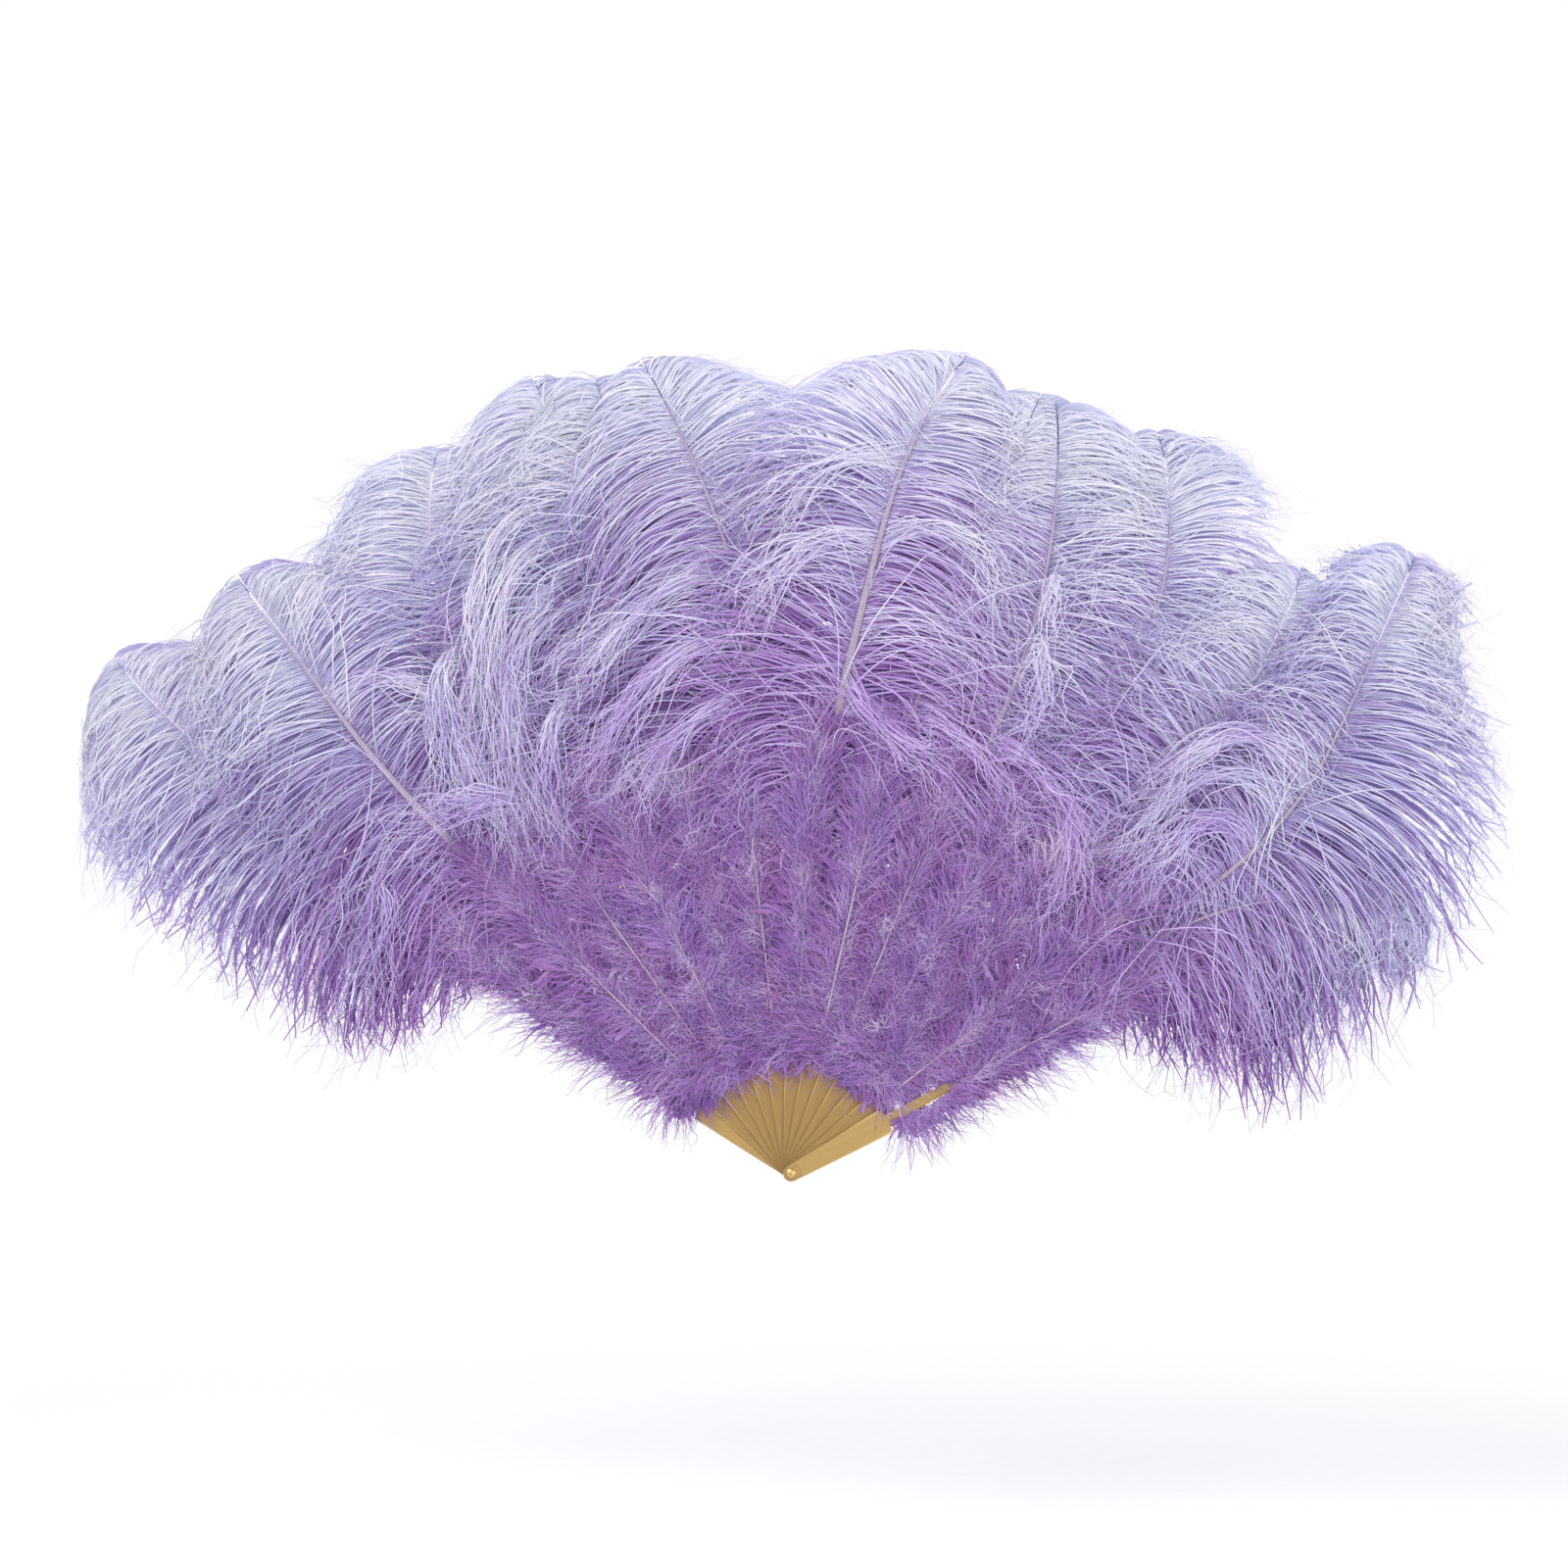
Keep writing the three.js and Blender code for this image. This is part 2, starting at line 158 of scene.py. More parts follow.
# Studio: soft lamps, a pale floor below the held fan, and a white background
studio = {
    "worldColour": "#efeef1",
    "worldStrength": 0.54,
    "floorDrop": 303,          # below the rivet
    "floorRadius": 12000,
    "shadowRadius": 1500,      # the floor keeps its own tone well within this distance
    "fadeFrom": 0.35,          # of it, where that tone starts to fade
    "lamps": [                 # name, place, aimed at, size, watts, colour
        ("keyLamp", (-1400, -2300, 2300), (0, 0, 300), 1800, 53, "#fffaf4"),
        ("fillLamp", (1900, -2400, 500), (0, 0, 250), 2000, 22, "#faf7ff"),
        ("topLamp", (200, 900, 2300), (0, 0, 400), 1600, 40, "#f6f7ff"),
    ],
}


def addLamp(name, place, aim, size, watts, code):
    data = bpy.data.lights.new(name, "AREA")
    data.shape = "DISK"
    data.size = size * metresPerMm
    data.energy = watts
    data.color = hexColour(code)[:3]
    lamp = bpy.data.objects.new(name, data)
    start, end = np.array(place, float), np.array(aim, float)
    direction = end - start
    lamp.location = start * metresPerMm
    level = math.hypot(direction[0], direction[1])
    tilt = math.atan2(level, -direction[2])  # from straight down
    lamp.rotation_euler = (tilt, 0, math.atan2(direction[1], direction[0]) - math.pi / 2)
    bpy.context.scene.collection.objects.link(lamp)


for lampRow in studio["lamps"]:
    addLamp(*lampRow)

world = bpy.data.worlds.new("studioWorld")
world.use_nodes = True
bpy.context.scene.world = world
tree = world.node_tree
tree.nodes.clear()
path = addNode(tree, "LightPath")
cameraOrGlossy = addNode(
    tree, "Math", {"operation": "MAXIMUM"},
    links={0: path.outputs["Is Camera Ray"], 1: path.outputs["Is Glossy Ray"]},
)
seen = addNode(
    tree, "Math", {"operation": "MAXIMUM"},
    links={0: cameraOrGlossy.outputs[0], 1: path.outputs["Is Transmission Ray"]},
)
lighting = addNode(
    tree, "Background",
    values={"Color": hexColour(studio["worldColour"]), "Strength": studio["worldStrength"]},
)
backdrop = addNode(tree, "Background", values={"Color": (1, 1, 1, 1), "Strength": 1})
mix = addNode(
    tree, "MixShader",
    links={0: seen.outputs[0], 1: lighting.outputs[0], 2: backdrop.outputs[0]},
)
addNode(tree, "OutputWorld", links={"Surface": mix.outputs[0]})


# Painted studio floor: matt and pale, which fades into the white background further out.
def floorMaterial():
    material, tree = emptyMaterial("painted studio floor")
    coordinates = addNode(tree, "TexCoord")
    away = addNode(
        tree, "VectorMath", {"operation": "LENGTH"},
        links={0: coordinates.outputs["Object"]},
    )
    fade = addNode(
        tree, "MapRange", {"interpolation_type": "SMOOTHSTEP"},
        values={
            "From Min": studio["shadowRadius"] * metresPerMm * studio["fadeFrom"],
            "From Max": studio["shadowRadius"] * metresPerMm,
        },
        links={"Value": away.outputs["Value"]},
    )
    grain = addNode(
        tree, "TexNoise", values={"Scale": 90, "Detail": 3},
        links={"Vector": coordinates.outputs["Object"]},
    )
    paint = addNode(
        tree, "ValToRGB", links={0: grain.outputs[0]},
        stops=((0, "#f4f4f5"), (1, "#fafafa")),
    )
    shader = addNode(
        tree, "BsdfPrincipled", values={"Roughness": 0.9},
        links={"Base Color": paint.outputs[0]},
    )
    glow = addNode(tree, "Emission", values={"Color": (1, 1, 1, 1), "Strength": 1})
    path = addNode(tree, "LightPath")
    share = addNode(
        tree, "Math", {"operation": "MULTIPLY"},
        links={0: fade.outputs[0], 1: path.outputs["Is Camera Ray"]},
    )
    mix = addNode(
        tree, "MixShader",
        links={0: share.outputs[0], 1: shader.outputs[0], 2: glow.outputs[0]},
    )
    addNode(tree, "OutputMaterial", links={"Surface": mix.outputs[0]})
    return material


def makeFloor():
    half = studio["floorRadius"] * metresPerMm
    drop = -studio["floorDrop"] * metresPerMm
    corners = [(-half, -half, drop), (half, -half, drop), (half, half, drop), (-half, half, drop)]
    mesh = bpy.data.meshes.new("floor")
    mesh.from_pydata(corners, [], [(0, 1, 2, 3)])
    floor = bpy.data.objects.new("floor", mesh)
    bpy.context.scene.collection.objects.link(floor)
    mesh.materials.append(floorMaterial())


makeFloor()
print("studio lit")


# Strands. Each function below works on all strands of a feather at once, as arrays of
# strand, step along the strand, and coordinate. Each strand has a place on its feather's
# colour chart: the tone across the chart and the warmth up it.
chart = {
    "acrossStrand": 0.008,     # half of what a strand takes across the chart
    "alongStrand": 0.05,       # what it takes up the chart from root to end
    "tones": (0.12, 0.985),    # between which a strand's tone is held
    "warmths": (0, 0.93),
    # Painted light: a tube's lit side is painted paler and its other side deeper, as painted
    # highlight and painted shade
    "tubePaintedShade": 0.012,        # by which a tube is paler on one side and deeper on the other
    "tubePaintedLightTurn": 0.3,           # where those sides are, in radians
    "tubeWarmths": (0.8, 0.15),  # at a tube's root and tip
    "capStep": 0.01,           # how much further up and down its closed ends are
}


# Each step goes on by an equal length, after the heading has turned towards the ground by
# the step's share of the hang times the sine of the angle between them. The share grows as
# the root of the distance, because a barb thins towards its end.
def growStrands(root, heading, length, hang, down, steps):
    share = (np.arange(steps) + 0.5) / steps
    weight = np.sqrt(share) / np.sum(np.sqrt(share))
    points = np.empty((len(root), steps + 1, 2))
    points[:, 0] = root
    heading = np.array(heading, float)
    for i in range(steps):
        heading = heading + hang * weight[i] * np.sin(down - heading)
        step = np.stack([np.cos(heading), np.sin(heading)], axis=-1)
        points[:, i + 1] = points[:, i] + step * (length / steps)[:, None]
    return points


# Strands draw together into locks: a point moves towards its lock's middle strand by the
# lock's pull times a power of its share of the way along.
def drawIntoLocks(points, sizes, pulls, rng, power=2.0):
    count = len(points)
    lock = np.repeat(np.arange(count), rng.integers(sizes[0], sizes[1] + 1, count))[:count]
    first = np.searchsorted(lock, lock)
    leader = first + np.bincount(lock)[lock] // 2
    pull = rng.uniform(pulls[0], pulls[1], lock[-1] + 1)[lock]
    share = np.linspace(0, 1, points.shape[1])
    way = points[leader] - points
    return points + way * pull[:, None, None] * (share ** power)[None, :, None]


# Waves that grow along each strand: a sine along each axis, with a phase and a number of
# waves of its own, times a power of the share of the way along.
def addFrizz(points, amount, waves, power, rng):
    count, steps = points.shape[:2]
    share = np.linspace(0, 1, steps)[None, :, None]
    number = rng.uniform(waves[0], waves[1], (count, 1, 3))
    phase = rng.uniform(0, 1, (count, 1, 3))
    size = rng.uniform(amount[0], amount[1], (count, 1, 1))
    sine = np.sin(2 * math.pi * (number * share + phase)) - np.sin(2 * math.pi * phase)
    return points + size * share ** power * sine


def unitVectors(vectors):
    length = np.linalg.norm(vectors, axis=-1, keepdims=True)
    return vectors / np.maximum(length, 1e-9)


patches = {
    "waves": 6,
    "lengths": (0.8, 1.6),     # of the waves, as shares of the patches' size
    "gain": 1.6,               # which brings the waves' mean up to about 1
}


# Soft patches over the fan, between about -1 and 1: the mean of some plane waves across x
# and z, each with a wavelength, a direction and a phase of its own.
def patchValues(points, size, rng):
    count = patches["waves"]
    number = 2 * math.pi / (size * rng.uniform(*patches["lengths"], count))
    angle, phase = rng.uniform(0, math.pi, count), rng.uniform(0, 2 * math.pi, count)
    x, z = points[..., 0, None], points[..., 2, None]
    wave = np.sin((x * np.cos(angle) + z * np.sin(angle)) * number + phase)
    return wave.mean(axis=-1) * patches["gain"]


# Holds strands back at the fan's edges: beyond a knee, a coordinate is the knee plus the
# room there times the hyperbolic tangent of what it had beyond, as a share of the room.
def settleStrands(points):
    low, high = np.array(fan["lowKnees"], float), np.array(fan["highKnees"], float)
    lowRoom, highRoom = np.array(fan["lowRooms"], float), np.array(fan["highRooms"], float)
    below, above = np.maximum(low - points, 0), np.maximum(points - high, 0)
    held = np.clip(points, low, high)
    return held - lowRoom * np.tanh(below / lowRoom) + highRoom * np.tanh(above / highRoom)


# Ribbons along the strands. A ribbon's side is square to its path and to the view from the
# front, turned about the path by the strand's tilt, and its edges lie half its width to
# either side of the path.
def ribbonParts(points, width, tilt, tone, warmth):
    count, stations = points.shape[:2]
    path = unitVectors(np.gradient(points, axis=1))
    side = unitVectors(np.cross(path, towardsFront))
    face = np.cross(side, path)
    turn = np.broadcast_to(tilt, (count,))[:, None, None]
    across = (side * np.cos(turn) + face * np.sin(turn)) * (width / 2)[..., None]
    vertices = np.stack([points - across, points + across], axis=2)
    u = tone[..., None] + np.array([-1, 1]) * chart["acrossStrand"]
    v = (warmth + chart["alongStrand"] * np.linspace(0, 1, stations))[..., None]
    uv = np.stack([u, np.broadcast_to(v, u.shape)], axis=-1)
    corner = np.arange(count)[:, None] * stations * 2 + np.arange(stations - 1) * 2
    corner = corner.reshape(-1)
    faces = np.stack([corner, corner + 1, corner + 3, corner + 2], axis=-1)
    return vertices.reshape(-1, 3), faces, uv.reshape(-1, 2)


barbuleShape = {
    "places": (0.05, 0.995),   # along the strand, from the first to the last
    "lean": (0.25, 0.8),       # forwards to the side, in radians
    "rise": (-0.4, 0.4),       # out of the strand's plane
    "lengths": (0.6, 1.1),
    "shortening": 0.3,         # towards the strand's end
    "footHalf": 0.17,          # along the strand, in mm
    "deeper": 0.03,            # in tone than their strand
    "toneSpread": 0.03,
    "tipAhead": 0.4,           # in warmth, by this share of what a strand takes
}


# Barbules: thin triangles that stand on a strand, each leaning forwards and to one side, and
# a little out of the strand's plane.
def barbuleParts(points, tone, warmth, each, length, rng):
    count, stations = points.shape[:2]
    shape, size = barbuleShape, (count, each, 1)
    share = rng.uniform(*shape["places"], (count, each))
    place = share * (stations - 1)
    low = np.minimum(place.astype(int), stations - 2)
    rest = (place - low)[..., None]
    strand = np.arange(count)[:, None]
    foot = points[strand, low] * (1 - rest) + points[strand, low + 1] * rest
    path = unitVectors(points[strand, low + 1] - points[strand, low])
    side = unitVectors(np.cross(path, towardsFront))
    face = np.cross(side, path)
    lean = rng.uniform(*shape["lean"], size) * rng.choice([-1, 1], size)
    rise = rng.uniform(*shape["rise"], size)
    way = unitVectors(path * np.cos(lean) + side * np.sin(lean) + face * rise)
    shorter = 1 - shape["shortening"] * share[..., None]
    reach = rng.uniform(*shape["lengths"], size) * length * shorter
    half = path * shape["footHalf"]
    corners = np.stack([foot - half, foot + half, foot + way * reach], axis=2)
    shade = rng.normal(0, shape["toneSpread"], (count, each))
    u = (tone[strand, low] + shade)[..., None] + np.array([-1, 1, 0]) * chart["acrossStrand"]
    ahead = share[..., None] + (0, 0, shape["tipAhead"])
    v = warmth[strand, 0, None] + chart["alongStrand"] * ahead
    faces = np.arange(count * each * 3).reshape(-1, 3)
    return corners.reshape(-1, 3), faces, np.stack([u, v], axis=-1).reshape(-1, 2)


strandShape = {
    "root": 0.45,              # of its full width
    "swell": 4,                # how many full widths it would gain over its whole length
    "thinning": 0.82,          # what it loses towards its end
    "fuller": 0.6,             # how much less the fullest strands lose
    "power": 2.2,
    "spread": (0.8, 1.2),      # from strand to strand
}


# A strand's width: it swells from its root to its full width, and thins by a power of the
# way along, the less the fuller it is.
def strandWidth(count, stations, width, fullness, rng):
    share = np.linspace(0, 1, stations)[None, :]
    lost = strandShape["thinning"] - strandShape["fuller"] * fullness
    profile = np.minimum(strandShape["root"] + strandShape["swell"] * share, 1)
    profile = profile * (1 - lost * share ** strandShape["power"])
    return width * profile * rng.uniform(*strandShape["spread"], (count, 1))


# One set of strands with its barbules, by the set's rules.
def strandParts(points, rules, tone, warmth, tilt, rng, fullness=0):
    points = settleStrands(points)
    tone = np.clip(tone, *chart["tones"])
    warmth = np.clip(warmth, *chart["warmths"])
    width = strandWidth(len(points), points.shape[1], rules["width"], fullness, rng)
    deeper = tone - barbuleShape["deeper"]
    return [
        ribbonParts(points, width, tilt, tone, warmth),
        barbuleParts(points, deeper, warmth, rules["barbules"], rules["barbule"], rng),
    ]


# A tube along a path: a ring of points at each station, half as wide and half as deep as
# the station's two sizes, closed by a point at each end.
def tubeParts(path, halfWidth, halfDepth, tone, sides=8):
    stations = len(path)
    line = unitVectors(np.gradient(path, axis=0))
    side = unitVectors(np.cross(line, towardsFront))
    face = np.cross(side, line)
    turn = np.arange(sides) * 2 * math.pi / sides
    ring = (
        path[:, None]
        + side[:, None] * (halfWidth[:, None] * np.cos(turn))[..., None]
        + face[:, None] * (halfDepth[:, None] * np.sin(turn))[..., None]
    )
    vertices = np.concatenate([ring.reshape(-1, 3), path[:1], path[-1:]])
    row = np.arange(stations - 1)[:, None] * sides
    column = np.arange(sides)[None, :]
    ahead = (column + 1) % sides
    body = np.stack([row + column, row + ahead, row + ahead + sides, row + column + sides], -1)
    first, last = stations * sides, stations * sides + 1
    end = (stations - 1) * sides
    c, a = column[0], ahead[0]
    caps = np.concatenate([
        np.stack([a, c, np.full(sides, first)], -1),
        np.stack([end + c, end + a, np.full(sides, last)], -1),
    ])
    # painted highlight on one side of the tube and painted shade on the other
    shade = chart["tubePaintedShade"] * np.cos(turn + chart["tubePaintedLightTurn"])
    start, finish = chart["tubeWarmths"]
    u = np.broadcast_to(tone + shade, (stations, sides))
    v = np.broadcast_to(np.linspace(start, finish, stations)[:, None], (stations, sides))
    ends = [[tone, start + chart["capStep"]], [tone, finish - chart["capStep"]]]
    uv = np.concatenate([np.stack([u, v], -1).reshape(-1, 2), ends])
    return [(vertices, body.reshape(-1, 4), uv), (vertices, caps, uv)]


# One mesh from many parts, each of them points, faces and a place on the feather's colour
# chart for each point.
def makePiece(name, parts, material, body, replaced):
    offsets = np.cumsum([0] + [len(points) for points, _, _ in parts])
    vertices = np.concatenate([points for points, _, _ in parts]) * metresPerMm
    uvs = np.concatenate([uv for _, _, uv in parts])
    loops = np.concatenate([(faces + offsets[i]).ravel() for i, (_, faces, _) in enumerate(parts)])
    sizes = np.concatenate([np.full(len(faces), faces.shape[1]) for _, faces, _ in parts])
    starts = np.concatenate([[0], np.cumsum(sizes)[:-1]])
    mesh = bpy.data.meshes.new(name)
    mesh.vertices.add(len(vertices))
    mesh.vertices.foreach_set("co", vertices.astype(np.float32).ravel())
    mesh.loops.add(len(loops))
    mesh.loops.foreach_set("vertex_index", loops.astype(np.int32))
    mesh.polygons.add(len(sizes))
    mesh.polygons.foreach_set("loop_start", starts.astype(np.int32))
    mesh.polygons.foreach_set("loop_total", sizes.astype(np.int32))
    mesh.polygons.foreach_set("use_smooth", np.ones(len(sizes), bool))
    layer = mesh.uv_layers.new(name="OFBake")
    layer.data.foreach_set("uv", np.clip(uvs[loops], 0, 1).astype(np.float32).ravel())
    mesh.update(calc_edges=True)
    mesh.materials.append(material)
    piece = bpy.data.objects.new(name, mesh)
    bpy.context.scene.collection.objects.link(piece)
    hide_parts(replaced)
    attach(piece, body)
    return piece


def bodyOf(stick):
    return f"body_{stick + 1:02d}"


dyeLook = {
    "streaks": (70, 180, 1),   # of the fine uneven streaks, across and up the colour chart
    "light": (0.82, 1.14),     # of the streaks
    "sheenRoughness": 0.45,
    "sheenTint": "#e9e2ff",
    "specular": 0.3,
}


# A dyed feather's colour chart: across it from the quill's horn colour through the dye's deepest
# tone, used for painted shade in the folds, to its palest tips, and up it from the dye's cool
# shade to its warm one.
def featherMaterial(name, cool, warm, roughness, sheen):
    material, tree = emptyMaterial(name)
    place = addNode(tree, "UVMap", {"uv_map": "OFBake"})
    parts = addNode(tree, "SeparateXYZ", links={0: place.outputs[0]})
    coolDye = addNode(tree, "ValToRGB", links={0: parts.outputs["X"]}, stops=cool)
    warmDye = addNode(tree, "ValToRGB", links={0: parts.outputs["X"]}, stops=warm)
    dye = addNode(
        tree, "Mix", {"data_type": "RGBA"},
        links={0: parts.outputs["Y"], 6: coolDye.outputs[0], 7: warmDye.outputs[0]},
    )
    stretch = addNode(
        tree, "Mapping", values={"Scale": dyeLook["streaks"]}, links={0: place.outputs[0]},
    )
    streak = addNode(
        tree, "TexNoise", values={"Scale": 1, "Detail": 5}, links={0: stretch.outputs[0]},
    )
    light = addNode(
        tree, "MapRange",
        values={"To Min": dyeLook["light"][0], "To Max": dyeLook["light"][1]},
        links={"Value": streak.outputs[0]},
    )
    base = addNode(
        tree, "VectorMath", {"operation": "SCALE"},
        links={0: dye.outputs[2], "Scale": light.outputs[0]},
    )
    matt = addNode(
        tree, "MapRange",
        values={"To Min": roughness[0], "To Max": roughness[1]},
        links={"Value": streak.outputs[0]},
    )
    shader = addNode(
        tree, "BsdfPrincipled",
        values={
            "Sheen Weight": sheen,
            "Sheen Roughness": dyeLook["sheenRoughness"],
            "Sheen Tint": hexColour(dyeLook["sheenTint"]),
            "Specular IOR Level": dyeLook["specular"],
        },
        links={"Base Color": base.outputs[0], "Roughness": matt.outputs[0]},
    )
    addNode(tree, "OutputMaterial", links={"Surface": shader.outputs[0]})
    return material


